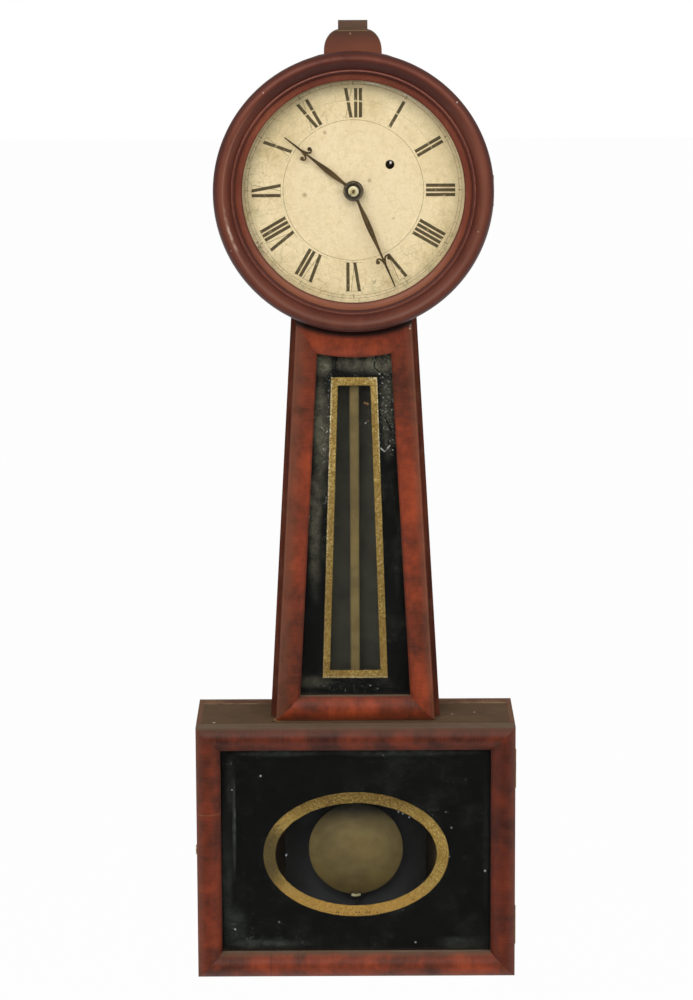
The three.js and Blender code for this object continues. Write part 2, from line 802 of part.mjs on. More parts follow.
function buildDoor() {
  const rebateShare = 0.27;
  const edgeShare = 0.76;
  const innerShare = 0.66;
  const section = cushionSection(
    doorBack, doorFront, doorGlassFront - glue, rebateShare, edgeShare, innerShare,
  );
  const corner = (side, end) => ({
    outer: [side * boxHalf, end > 0 ? doorTopZ : doorBottomZ],
    inner: [
      side * (boxHalf - doorRailWide),
      end > 0 ? doorTopZ - doorRailWide : doorBottomZ + doorRailWide,
    ],
  });
  const clawX = -boxHalf + boxSideThick + latchInset;
  const keeperY = latchY - keeperReach;
  const keeper = (radius, extra) =>
    crossRod(
      radius, clawX - mortiseSideFit - keeperSeat - extra,
      clawX + latchClawThick + mortiseSideFit + keeperSeat + extra, keeperY, latchZ,
    );
  const mortise = block(
    clawX - mortiseSideFit, clawX + latchClawThick + mortiseSideFit,
    doorBack + overrun, latchY - latchClawOuter - mortiseFrontFit,
    latchZ - mortiseHalfHigh, latchZ + mortiseHalfHigh,
  );
  const leftStile = moulding([corner(-1, 1), corner(-1, -1)], section);
  add("door_stile_left", cut(leftStile, mortise, keeper(keeperRadius + keeperFit, keeperFit)), mahogany);
  add("door_keeper_pin", keeper(keeperRadius, 0), steel);
  const rightStile = moulding([corner(1, 1), corner(1, -1)], section);
  add("door_stile_right", cut(rightStile, ...doorHingeBeds(true)), mahogany);
  add("door_rail_top", moulding([corner(-1, 1), corner(1, 1)], section), mahogany);
  add("door_rail_bottom", moulding([corner(-1, -1), corner(1, -1)], section), mahogany);

  const paneHalf = boxHalf - doorRailWide + doorGlassMargin;
  const paneTop = doorTopZ - doorRailWide + doorGlassMargin;
  const paneBottom = doorBottomZ + doorRailWide - doorGlassMargin;
  const pane = block(-paneHalf, paneHalf, doorGlassBack, doorGlassFront, paneBottom, paneTop);
  add("door_glass", pane, clearGlass);
  const paintFront = doorGlassBack + glue;
  const oval = (Kind, wide, high) => {
    const path = new Kind();
    path.absellipse(0, -ovalDrop, wide, high, 0, 2 * Math.PI, Kind === THREE.Path);
    return path;
  };
  const paint = outline([
    [-paneHalf, paneBottom],
    [paneHalf, paneBottom],
    [paneHalf, paneTop],
    [-paneHalf, paneTop],
  ]);
  paint.holes.push(oval(THREE.Path, ovalHalfWide + ovalBandWide, ovalHalfHigh + ovalBandHigh));
  add("door_tablet_paint", slab(paint, paintFront + paintThick, paintFront, ovalSteps), blackPaint);
  const band = oval(THREE.Shape, ovalHalfWide + ovalBandWide - glue, ovalHalfHigh + ovalBandHigh - glue);
  band.holes.push(oval(THREE.Path, ovalHalfWide, ovalHalfHigh));
  add("door_gilt_oval", slab(band, paintFront + paintThick, paintFront, ovalSteps), gilt);

  const axisY = boxFront - doorGap / 2;
  doorHingeBottoms().forEach((bottom, i) => {
    const name = "door_hinge_" + ["upper", "lower"][i];
    const leaves = hingeLeaves(
      boxHalf + hingeAxisStandoff, axisY, boxHalf - hingeLeafWide, boxFront, doorBack, bottom, hingeLeafHigh,
    );
    add(name + "_case_leaf", leaves.fixed, brass);
    add(name + "_door_leaf", leaves.moving, brass);
  });

  const claw = new THREE.Shape();
  const armAngle = Math.asin(latchArmWide / latchClawOuter);
  const clawSpan = THREE.MathUtils.degToRad(latchClawDegrees);
  claw.absarc(0, 0, latchClawOuter, -Math.PI / 2 - armAngle, -Math.PI / 2 + clawSpan);
  claw.absarc(0, 0, latchClawInner, -Math.PI / 2 + clawSpan, -Math.PI / 2 + armAngle / 2, true);
  claw.lineTo(latchArmWide / 2, 0);
  claw.lineTo(-latchArmWide / 2, 0);
  const clawPiece = new THREE.ExtrudeGeometry(claw, {
    depth: latchClawThick, bevelEnabled: false, curveSegments: arcSteps,
  });
  clawPiece.rotateX(Math.PI / 2);
  clawPiece.rotateZ(-Math.PI / 2);
  clawPiece.translate(clawX + latchClawThick, latchY, latchZ);
  add(
    "door_latch",
    join(
      crossRod(
        latchKnobRadius, -boxHalf - latchKnobHigh - glue, -boxHalf - glue, latchY, latchZ, 2 * pivotSteps,
      ),
      crossRod(latchShaft, -boxHalf - latchKnobHigh, clawX + latchClawThick, latchY, latchZ),
      crossRod(latchHub, clawX, clawX + latchClawThick, latchY, latchZ, 2 * pivotSteps),
      clawPiece,
    ),
    brass,
  );
}

// Points along an arc from one angle to another, in the plane of radius and depth
function arcPoints(centre, radiusAcross, radiusDeep, from, to, steps) {
  const points = [];
  for (let i = 0; i <= steps; i++) {
    const angle = from + ((to - from) * i) / steps;
    points.push([centre[0] + radiusAcross * Math.cos(angle), centre[1] - radiusDeep * Math.sin(angle)]);
  }
  return points;
}

function buildBezel() {
  const roundMiddle = (bezelRadius + bezelRoundInner) / 2;
  const roundHalf = (bezelRadius - bezelRoundInner) / 2;
  const roundRiseShare = 1.25;
  const springHigh = bezelHigh - roundHalf * roundRiseShare;
  const roundSteps = 6;
  const coveSteps = 3;
  const beadSteps = 3;
  const quirkHigh = bezelBeadHigh - bezelBeadHalf;
  const glassSeat = bezelBack - bezelLipHigh;
  const profile = [
    [bezelRadius - bezelBackSetback, bezelBack],
    [bezelRadius - bezelBackSetback, bezelBack - springHigh / 2],
    ...arcPoints(
      [roundMiddle, bezelBack - springHigh], roundHalf, bezelHigh - springHigh, 0, Math.PI, roundSteps,
    ),
    [bezelRoundInner, bezelBack - quirkHigh],
    ...arcPoints(
      [bezelBeadRadius, bezelBack - quirkHigh], bezelBeadHalf, bezelBeadHalf, 0, Math.PI, beadSteps,
    ),
    [bezelCoveRadius, bezelBack - quirkHigh],
    ...arcPoints(
      [bezelSightRadius, bezelBack - bezelCoveHigh], bezelCoveWide, bezelCoveHigh - bezelSightHigh,
      0, -Math.PI / 2, coveSteps,
    ),
    [bezelSightRadius, glassSeat],
    [bezelRebateRadius, glassSeat],
    [bezelRebateRadius, bezelBack],
  ];
  const leafBed = block(
    bezelHingeAxisX - bezelHingeLeafWide - hingeMortiseFit, bezelRadius + overrun,
    bezelBack + overrun, bezelBack - hingeLeafThick - hingeMortiseFit,
    -bezelHingeHigh / 2 - hingeMortiseFit, bezelHingeHigh / 2 + hingeMortiseFit,
  );
  add("bezel", cut(turned(profile, headSteps), leafBed), mahogany);

  const glassEdge = glassSeat + glue;
  const domeSteps = 4;
  const front = [];
  const back = [];
  for (let i = 0; i <= domeSteps; i++) {
    const share = i / domeSteps;
    const rise = bezelGlassRise * (1 - share * share);
    front.push([bezelGlassRadius * share, glassEdge - rise]);
    back.push([bezelGlassRadius * share, glassEdge + bezelGlassThick - rise]);
  }
  // The dome starts inside the sight edge, so the glass keeps a flat rim under the lip
  const domeShare = (bezelSightRadius - glue) / bezelGlassRadius;
  const inward = (list, level) => [
    ...list.slice(0, -1).map(([radius, y]) => [radius * domeShare, y]),
    [bezelSightRadius - glue, level],
    [bezelGlassRadius, level],
  ];
  add(
    "bezel_glass",
    turned([...inward(front, glassEdge), ...inward(back, glassEdge + bezelGlassThick).reverse()], dialSteps),
    clearGlass,
  );

  const leaves = hingeLeaves(
    bezelHingeAxisX, headFront - bezelGap / 2, bezelHingeAxisX - bezelHingeLeafWide,
    headFront, bezelBack, -bezelHingeHigh / 2, bezelHingeHigh,
  );
  add("bezel_hinge_case_leaf", leaves.fixed, brass);
  add("bezel_hinge_bezel_leaf", leaves.moving, brass);

  const face = disc(dialRadius);
  face.holes.push(roundHole(hourPipe + dialHoleFit, 0, 0));
  face.holes.push(roundHole(windingHole, windingX, windingZ));
  add("dial", slab(face, dialBack, dialFront, dialSteps / 2), dialPaint);
}

// A toothed outline: each tooth is a trapezium, with its middle at toothAngle. With a root share of 1 the
// teeth meet at their roots.
function toothed(teeth, rootRadius, tipRadius, rootShare, tipShare, toothAngle) {
  const pitch = (2 * Math.PI) / teeth;
  const points = [];
  for (let i = 0; i < teeth; i++) {
    const middle = toothAngle + i * pitch;
    points.push(polar(rootRadius, middle - (pitch * rootShare) / 2));
    points.push(polar(tipRadius, middle - (pitch * tipShare) / 2));
    points.push(polar(tipRadius, middle + (pitch * tipShare) / 2));
    if (rootShare < 1) points.push(polar(rootRadius, middle + (pitch * rootShare) / 2));
  }
  return new THREE.Shape(points);
}

// Wheels and pinions are proportioned by their module, the pitch diameter for one tooth
const wheelAddendumShare = 0.7;
const wheelDedendumShare = 1.5;
const wheelTipShare = 0.16;
const leafAddendumShare = 0.7;
const leafDedendumShare = 1.3;
const leafRootShare = 0.26;
const leafTipShare = 0.1;

function wheelShape(teeth, module, towards, bore = 0) {
  const pitchRadius = (module * teeth) / 2;
  const shape = toothed(
    teeth, pitchRadius - module * wheelDedendumShare, pitchRadius + module * wheelAddendumShare,
    1, wheelTipShare, towards + Math.PI / teeth,
  );
  if (bore > 0) shape.holes.push(roundHole(bore, 0, 0));
  return shape;
}

function pinionShape(leaves, module, towards, bore = 0) {
  const pitchRadius = (module * leaves) / 2;
  const shape = toothed(
    leaves, pitchRadius - module * leafDedendumShare, pitchRadius + module * leafAddendumShare,
    leafRootShare, leafTipShare, towards,
  );
  if (bore > 0) shape.holes.push(roundHole(bore, 0, 0));
  return shape;
}

// Windows between the arms of a wheel
function crossOut(shape, arms, hub, rim, armWide) {
  const step = (2 * Math.PI) / arms;
  for (let i = 0; i < arms; i++) {
    const start = i * step;
    const end = start + step;
    const outer = armWide / 2 / rim;
    const inner = armWide / 2 / hub;
    const window = new THREE.Path();
    window.absarc(0, 0, rim, start + outer, end - outer);
    window.absarc(0, 0, hub, end - inner, start + inner, true);
    window.closePath();
    shape.holes.push(window);
  }
  return shape;
}

const direction = (fromX, fromZ, toX, toZ) => Math.atan2(toZ - fromZ, toX - fromX);
const greatModule = (2 * Math.hypot(windingX, windingZ)) / (greatTeeth + pinionTeethCentre);
const centreModule = (2 * Math.hypot(thirdX, thirdZ)) / (centreTeeth + pinionTeethThird);
const thirdModule = (2 * Math.hypot(escapeX - thirdX, escapeZ - thirdZ)) / (thirdTeeth + pinionTeethEscape);
const wheelArms = 4;
const hubShare = 0.24;
const rimShareOfWheel = 0.84;
const armWide = 3;
const wheelArcSteps = 4;

function wheelPlate(teeth, module, towards, back, thick, bore = 0) {
  const pitchRadius = (module * teeth) / 2;
  const shape = wheelShape(teeth, module, towards, bore);
  crossOut(shape, wheelArms, pitchRadius * hubShare, pitchRadius * rimShareOfWheel, armWide);
  return slab(shape, back, back - thick, wheelArcSteps);
}

function buildPlates() {
  const plate = () => {
    const shape = new THREE.Shape();
    shape.moveTo(-plateLeft + plateCorner, -plateBottom);
    shape.lineTo(plateRight - plateCorner, -plateBottom);
    shape.absarc(plateRight - plateCorner, -plateBottom + plateCorner, plateCorner, -Math.PI / 2, 0);
    shape.absarc(plateRight - plateCorner, plateTop - plateCorner, plateCorner, 0, Math.PI / 2);
    shape.absarc(-plateLeft + plateCorner, plateTop - plateCorner, plateCorner, Math.PI / 2, Math.PI);
    shape.absarc(-plateLeft + plateCorner, -plateBottom + plateCorner, plateCorner, Math.PI, 1.5 * Math.PI);
    return shape;
  };
  const pivots = [[thirdX, thirdZ], [escapeX, escapeZ], [0, swingZ]];
  const corners = [
    [-plateLeft + pillarInset, -plateBottom + pillarInset],
    [plateRight - pillarInset, -plateBottom + pillarInset],
    [-plateLeft + pillarInset, plateTop - pillarInset],
    [plateRight - pillarInset, plateTop - pillarInset],
  ];
  const backShape = plate();
  for (const [x, z] of [...pivots, [0, 0]]) backShape.holes.push(roundHole(pivotRadius + pivotFit, x, z));
  backShape.holes.push(roundHole(windingArbor + pivotFit, windingX, windingZ));
  const posts = corners.flatMap(([x, z]) => {
    const foot = rod(pillarRadius, -backboardThick - glue, backPlateBack - glue);
    const pillar = rod(pillarRadius, backPlateFront + glue, frontPlateBack + glue);
    foot.translate(x, 0, z);
    pillar.translate(x, 0, z);
    return [foot, pillar];
  });
  const cordPost = rod(cordPostRadius, backPlateFront + glue, weightMiddle - pulleyThick);
  cordPost.translate(cordLeftX, 0, -cordPostDrop);
  add(
    "movement_back_plate",
    join(slab(backShape, backPlateBack, backPlateFront, wheelArcSteps), ...posts, cordPost),
    brass,
  );

  const frontShape = plate();
  for (const [x, z] of pivots.slice(0, 2)) frontShape.holes.push(roundHole(pivotRadius + pivotFit, x, z));
  frontShape.holes.push(roundHole(arborRadius + pivotFit, 0, swingZ));
  frontShape.holes.push(roundHole(arborRadius + pivotFit, 0, 0));
  frontShape.holes.push(roundHole(windingArbor + pivotFit, windingX, windingZ));
  const turn = THREE.MathUtils.degToRad(minuteTurnDegrees);
  const stud = rod(studRadius, frontPlateBack, motionLevels().minutePinionFront - studEnd);
  stud.translate(motionCentres * Math.cos(turn), 0, motionCentres * Math.sin(turn));
  const frontPlate = slab(frontShape, frontPlateBack, frontPlateFront, wheelArcSteps);
  add("movement_front_plate", join(frontPlate, stud), brass);
}

function buildTrain() {
  const level = (setback) => backPlateFront - setback;
  const pivotBack = backPlateBack - glue;
  const pivotFront = frontPlateFront + glue;
  const shoulderBack = backPlateFront - glue;
  const shoulderFront = frontPlateBack + glue;

  const greatToCentre = direction(windingX, windingZ, 0, 0);
  const greatBack = level(greatSetback);
  const greatFront = greatBack - greatThick;
  add(
    "great_wheel",
    wheelPlate(greatTeeth, greatModule, greatToCentre, greatBack, greatThick, windingArbor + pivotFit),
    brass,
    windingX,
    windingZ,
  );
  const drumBack = greatFront - drumGap;
  const drumFront = drumBack - drumLong;
  const squareHalf = windingSquare / 2;
  add(
    "winding_barrel",
    join(
      rod(windingArbor, pivotBack, pivotFront, pivotSteps),
      rod(drumRadius, drumBack, drumFront, 2 * pivotSteps),
      rod(drumFlange, drumFront + glue, drumFront - drumFlangeThick, 2 * pivotSteps),
      rod(drumFlange, drumBack, drumBack - drumFlangeThick, 2 * pivotSteps),
      block(-squareHalf, squareHalf, pivotFront + glue, dialBack + windingEndGap, -squareHalf, squareHalf),
    ),
    steel,
    windingX,
    windingZ,
  );

  const centreBack = level(centreSetback);
  const towardsGreat = direction(0, 0, windingX, windingZ);
  const towardsThird = direction(0, 0, thirdX, thirdZ);
  const { minuteBack, noseFront } = motionLevels();
  add(
    "centre_wheel",
    join(
      rod(pivotRadius, pivotBack, shoulderBack),
      rod(arborRadius, shoulderBack + glue, minuteBack - handThick),
      rod(pivotRadius, minuteBack, noseFront),
      slab(
        pinionShape(pinionTeethCentre, greatModule, towardsGreat),
        level(centrePinionGap), greatFront - (pinionLong - greatThick) / 2,
      ),
      wheelPlate(centreTeeth, centreModule, towardsThird, centreBack, wheelThick),
    ),
    brass,
  );

  const thirdBack = level(thirdSetback);
  const towardsEscape = direction(thirdX, thirdZ, escapeX, escapeZ);
  const pinionReach = (pinionLong - wheelThick) / 2;
  add(
    "third_wheel",
    join(
      rod(pivotRadius, pivotBack, pivotFront),
      rod(arborRadius, shoulderBack, shoulderFront),
      slab(
        pinionShape(pinionTeethThird, centreModule, direction(thirdX, thirdZ, 0, 0)),
        centreBack + pinionReach, centreBack - wheelThick - pinionReach,
      ),
      wheelPlate(thirdTeeth, thirdModule, towardsEscape, thirdBack, wheelThick),
    ),
    brass,
    thirdX,
    thirdZ,
  );

  const escapeBack = level(escapeSetback);
  const escapeTipShare = 0.06;
  const escapeRimShare = 0.68;
  const escapeShape = toothed(
    escapeTeeth, escapeRadius - escapeToothHigh, escapeRadius, 1, escapeTipShare, 0,
  );
  crossOut(escapeShape, wheelArms, escapeRadius * hubShare, escapeRadius * escapeRimShare, escapeArmWide);
  add(
    "escape_wheel",
    join(
      rod(pivotRadius, pivotBack, pivotFront),
      rod(arborRadius, shoulderBack, shoulderFront),
      slab(
        pinionShape(pinionTeethEscape, thirdModule, direction(escapeX, escapeZ, thirdX, thirdZ)),
        thirdBack + pinionReach, thirdBack - wheelThick - pinionReach,
      ),
      slab(escapeShape, escapeBack, escapeBack - escapeThick, wheelArcSteps),
    ),
    brass,
    escapeX,
    escapeZ,
  );
  buildAnchor(escapeBack - escapeThick / 2, pivotBack, shoulderBack);
}

// The anchor hangs over the escape wheel, with its two pallets clear of the wheel's tips
function buildAnchor(middle, pivotBack, shoulderBack) {
  const toWheel = direction(0, swingZ, escapeX, escapeZ);
  const distance = Math.hypot(escapeX, swingZ - escapeZ);
  const crutchBack = frontPlateFront - crutchStandoff;
  const crutchFront = crutchBack - crutchThick;
  const half = anchorThick / 2;
  const arms = [-1, 1].map((side) => {
    const tipRadius = escapeRadius + palletClear;
    const tipAngle = toWheel + Math.PI - side * THREE.MathUtils.degToRad(palletSpanDegrees);
    const tip = [
      distance * Math.cos(toWheel) + tipRadius * Math.cos(tipAngle),
      distance * Math.sin(toWheel) + tipRadius * Math.sin(tipAngle),
    ];
    const reach = Math.hypot(tip[0], tip[1]);
    const arm = block(0, reach + palletWide / 2, middle + half, middle - half, 0, anchorArmWide / 2);
    const armAngle = Math.atan2(tip[1], tip[0]);
    if (Math.sin(armAngle - toWheel) < 0) arm.translate(0, 0, -anchorArmWide / 2);
    arm.rotateY(-armAngle);
    return arm;
  });
  add(
    "anchor",
    join(
      rod(pivotRadius, pivotBack, shoulderBack),
      rod(arborRadius, shoulderBack + glue, crutchFront - glue),
      rod(anchorArmWide, middle + half, middle - half, 2 * pivotSteps),
      ...arms,
    ),
    steel,
    0,
    swingZ,
  );

  const fork = new THREE.Shape();
  fork.absarc(0, 0, crutchHub, -Math.PI / 3, Math.PI + Math.PI / 3);
  fork.lineTo(-crutchWide / 2, -crutchLong);
  fork.lineTo(crutchWide / 2, -crutchLong);
  fork.holes.push(roundHole(arborRadius + hubFit, 0, 0));
  const pin = rod(crutchPin, crutchBack - glue, rodFront - glue);
  pin.translate(0, 0, -crutchLong + crutchWide / 2);
  add("crutch", join(slab(fork, crutchBack, crutchFront), pin), steel, 0, swingZ);
}

// Depths of the motion work, from the front plate to the ends of the pipes
function motionLevels() {
  const cannonBack = frontPlateFront - motionGap;
  const cannonFront = cannonBack - cannonLong;
  const minuteWheelBack = cannonBack - (cannonLong - motionThick) / 2;
  const minutePinionBack = minuteWheelBack - motionThick;
  const hourBack = cannonFront - motionStep;
  const minutePinionFront = Math.min(minutePinionBack - minutePinionLong, hourBack - motionThick - glue);
  const hourHandBack = dialFront - hourHandGap;
  const minuteHandBack = dialFront - minuteHandGap;
  return {
    cannonBack,
    cannonFront,
    minuteWheelBack,
    minutePinionBack,
    minutePinionFront,
    hourBack,
    hourHandBack,
    hourPipeFront: hourHandBack - handThick - glue,
    minuteBack: minuteHandBack,
    cannonPipeFront: minuteHandBack - handThick,
    noseFront: minuteHandBack - handThick - glue - colletThick - arborNose,
  };
}

function buildMotionWork() {
  const levels = motionLevels();
  const turn = THREE.MathUtils.degToRad(minuteTurnDegrees);
  const cannonModule = (2 * motionCentres) / (cannonTeeth + minuteTeeth);
  const hourModule = (2 * motionCentres) / (minutePinionTeeth + hourTeeth);
  const pipeBore = arborRadius + pipeFit;
  const pipeShape = disc(cannonPipe, pipeBore);
  add(
    "cannon_pinion",
    join(
      slab(pinionShape(cannonTeeth, cannonModule, turn, pipeBore), levels.cannonBack, levels.cannonFront),
      slab(pipeShape, levels.cannonFront + glue, levels.cannonPipeFront),
    ),
    brass,
  );
  const studBore = studRadius + pivotFit;
  add(
    "minute_wheel",
    join(
      slab(
        wheelShape(minuteTeeth, cannonModule, turn + Math.PI, studBore),
        levels.minuteWheelBack, levels.minutePinionBack,
      ),
      slab(
        pinionShape(minutePinionTeeth, hourModule, turn + Math.PI, studBore),
        levels.minutePinionBack + glue, levels.minutePinionFront,
      ),
    ),
    brass,
    motionCentres * Math.cos(turn),
    motionCentres * Math.sin(turn),
  );
  const hourBore = cannonPipe + pipeFit;
  add(
    "hour_wheel",
    join(
      slab(wheelShape(hourTeeth, hourModule, turn, hourBore), levels.hourBack, levels.hourBack - motionThick),
      slab(disc(hourPipe, hourBore), levels.hourBack - motionThick + glue, levels.hourPipeFront),
    ),
    brass,
  );
}

// A hand points up as drawn: boss, blade, two barbs and a tapering tip
function handShape(long, barbAt, bossHole, back) {
  const half = handWide / 2;
  const neck = handNeck / 2;
  const bellyShare = 0.55;
  const shoulderShare = 0.9;
  const points = [
    [neck, 0],
    [half, barbAt * bellyShare],
    [neck * shoulderShare, barbAt - barbBack],
    [barbHalf, barbAt - barbBack],
    [barbHalf, barbAt - barbBack / 2],
    [neck, barbAt + barbBack / 2],
    [neck * shoulderShare / 2, long],
  ];
  const outlinePoints = [...points, ...points.slice().reverse().map(mirrored)];
  const blade = slab(outline(outlinePoints), back, back - handThick);
  const boss = slab(disc(handBoss), back, back - handThick);
  const hole = rod(bossHole, back + overrun, back - handThick - overrun, 2 * pivotSteps);
  return cut(join(blade, boss), hole);
}

function buildHands() {
  const levels = motionLevels();
  const hands = [
    ["hour_hand", hourLong, hourBarbAt, hourPipe + hubFit, levels.hourHandBack, hourDegrees],
    ["minute_hand", minuteLong, minuteBarbAt, cannonPipe + hubFit, levels.minuteBack, minuteDegrees],
  ];
  for (const [name, long, barbAt, hole, back, degrees] of hands) {
    const geometry = handShape(long, barbAt, hole, back);
    geometry.rotateY(THREE.MathUtils.degToRad(degrees));
    add(name, geometry, blued);
  }
  const colletBack = levels.cannonPipeFront - glue;
  const collet = slab(disc(colletRadius, pivotRadius + hubFit), colletBack, colletBack - colletThick);
  add("hand_collet", collet, brass);
}

function buildPendulum() {
  const slotZ = swingZ - crutchLong + crutchWide / 2;
  const loop = slab(
    outline([
      [-loopHalfWide - loopBand, -loopHalfHigh],
      [loopHalfWide + loopBand, -loopHalfHigh],
      [loopHalfWide, loopHalfHigh + loopBand],
      [-loopHalfWide, loopHalfHigh + loopBand],
    ]),
    rodBack,
    rodFront,
  );
  const loopHole = slab(
    outline([
      [-loopHalfWide, -loopHalfHigh + loopBand],
      [loopHalfWide, -loopHalfHigh + loopBand],
      [loopHalfWide - loopBand, loopHalfHigh],
      [-loopHalfWide + loopBand, loopHalfHigh],
    ]),
    rodBack + overrun,
    rodFront - overrun,
  );
  const half = rodWide / 2;
  const bobZ = -bobDrop;
  const bladeEndZ = bobZ - bobRadius + threadInBob;
  const blade = join(
    block(-half, half, rodBack, rodFront, bladeEndZ, -loopHalfHigh + glue),
    block(-half, half, rodBack, rodFront, loopHalfHigh, rodTopZ),
    uprightRod(threadRadius, 0, rodMiddle, bladeEndZ - threadLong, bladeEndZ + glue),
    cut(loop, loopHole),
  );
  const springHalf = springThick / 2 + glue;
  const springSlot = block(
    -springHalf, springHalf, rodMiddle + springWide / 2, rodMiddle - springWide / 2,
    rodTopZ - springSeat, rodTopZ + overrun,
  );
  const pinSlot = rod(crutchPin + crutchPinFit, rodBack + overrun, rodFront - overrun);
  pinSlot.translate(0, 0, slotZ);
  add("pendulum_rod", cut(blade, springSlot, pinSlot), agedBrass);

  const springBottom = rodTopZ - springSeat + glue;
  add(
    "suspension_spring",
    block(
      -springThick / 2, springThick / 2, rodMiddle + springWide / 2 - glue, rodMiddle - springWide / 2 + glue,
      springBottom, springBottom + springLong,
    ),
    steel,
  );

  const bridgeZ = swingZ + bridgeRise;
  const arm = block(
    -bridgeHalf, bridgeHalf, frontPlateFront - glue, rodMiddle - springWide / 2 - bridgeNose,
    bridgeZ, bridgeZ + bridgeHigh,
  );
  const foot = block(
    -bridgeFootHalf, bridgeFootHalf, frontPlateFront - glue, frontPlateFront - bridgeFootThick,
    bridgeZ, bridgeZ + bridgeHigh + bridgeFootHigh,
  );
  const chop = block(
    -springThick / 2 - bridgeSlotFit, springThick / 2 + bridgeSlotFit,
    rodMiddle + springWide / 2 + bridgeSlotFit, rodMiddle - springWide / 2 - bridgeSlotFit,
    bridgeZ - overrun, bridgeZ + bridgeHigh + overrun,
  );
  add("pendulum_bridge", cut(join(arm, foot), chop), brass);

  const bobHalf = bobThick / 2;
  const rimHalf = bobRimThick / 2;
  const bobArcSteps = 4;
  const bobCurvePower = 2.4;
  const face = [];
  for (let i = 0; i <= bobArcSteps; i++) {
    const share = i / bobArcSteps;
    face.push([bobRadius * share, rimHalf + (bobHalf - rimHalf) * (1 - share ** bobCurvePower)]);
  }
  const lens = turned([...face.map(([r, y]) => [r, -y]), ...face.reverse()], bobSteps);
  lens.translate(0, rodMiddle, bobZ);
  const rodSlot = block(
    -half - bobSlotFit, half + bobSlotFit, rodBack + bobSlotFit, rodFront - bobSlotFit,
    bobZ - bobRadius - overrun, bobZ + bobRadius + overrun,
  );
  add("pendulum_bob", cut(lens, rodSlot), agedBrass);

  const nutTop = bobZ - bobRadius - glue;
  const nut = uprightRod(nutRadius, 0, rodMiddle, nutTop - nutHigh, nutTop, 2 * pivotSteps);
  const nutBore = uprightRod(
    threadRadius + pivotFit, 0, rodMiddle, nutTop - nutHigh - overrun, nutTop + overrun,
  );
  add("rating_nut", cut(nut, nutBore), brass);
}

function buildWeight() {
  const body = slab(
    outline([
      [weightX - weightHalfBottom, weightBottomZ],
      [weightX + weightHalfBottom, weightBottomZ],
      [weightX + weightHalfTop, weightTopZ],
      [weightX - weightHalfTop, weightTopZ],
    ]),
    weightBack,
    weightFront,
  );
  const cheeks = [1, -1].map((side) => {
    const inner = weightMiddle + side * (pulleyThick / 2 + cheekGap);
    const outer = inner + side * cheekThick;
    return block(
      weightX - cheekWide / 2, weightX + cheekWide / 2, Math.max(inner, outer), Math.min(inner, outer),
      weightTopZ - glue, pulleyZ + cheekWide / 2,
    );
  });
  const axleHalf = pulleyThick / 2 + cheekGap + cheekThick;
  const axle = rod(axleRadius, weightMiddle + axleHalf, weightMiddle - axleHalf);
  axle.translate(weightX, 0, pulleyZ);
  add("driving_weight", join(body, ...cheeks, axle), iron);

  const pulleyHalf = pulleyThick / 2;
  const rim = pulleyGroove + pulleyRim;
  const floor = pulleyGroove - cordRadius - glue;
  add(
    "weight_pulley",
    turned(
      [
        [axleRadius + pivotFit, weightMiddle + pulleyHalf],
        [rim, weightMiddle + pulleyHalf],
        [floor, weightMiddle + cordRadius],
        [floor, weightMiddle - cordRadius],
        [rim, weightMiddle - pulleyHalf],
        [axleRadius + pivotFit, weightMiddle - pulleyHalf],
      ],
      bobSteps,
    ),
    brass,
    weightX,
    pulleyZ,
  );

  const turnSteps = 14;
  const cordTop = windingZ;
  const cordEnd = -cordPostDrop - cordPostRadius - glue;
  const at = (x, z) => new THREE.Vector3(x, weightMiddle, z);
  const points = [at(cordRightX, cordTop), at(cordRightX, (cordTop + pulleyZ) / 2)];
  for (let i = 0; i <= turnSteps; i++) {
    const angle = (-Math.PI * i) / turnSteps;
    points.push(at(weightX + pulleyGroove * Math.cos(angle), pulleyZ + pulleyGroove * Math.sin(angle)));
  }
  points.push(at(cordLeftX, (cordEnd + pulleyZ) / 2), at(cordLeftX, cordEnd));
  add("weight_cord", cordTube(points), cordFinish);

  const baffleFront = weightFront - baffleGap - baffleThick;
  const inset = throatBoardThick + glue;
  const low = -baffleBottomDrop;
  add(
    "weight_baffle",
    slab(
      outline([
        [-slotHalf + glue, low],
        [slotHalf - glue, low],
        [slotHalf - glue, boxTopZ + glue],
        [throatHalfAt(-baffleTopDrop) - inset, -baffleTopDrop],
        [-throatHalfAt(-baffleTopDrop) + inset, -baffleTopDrop],
        [-slotHalf + glue, boxTopZ + glue],
      ]),
      baffleFront + baffleThick,
      baffleFront,
    ),
    iron,
  );
}

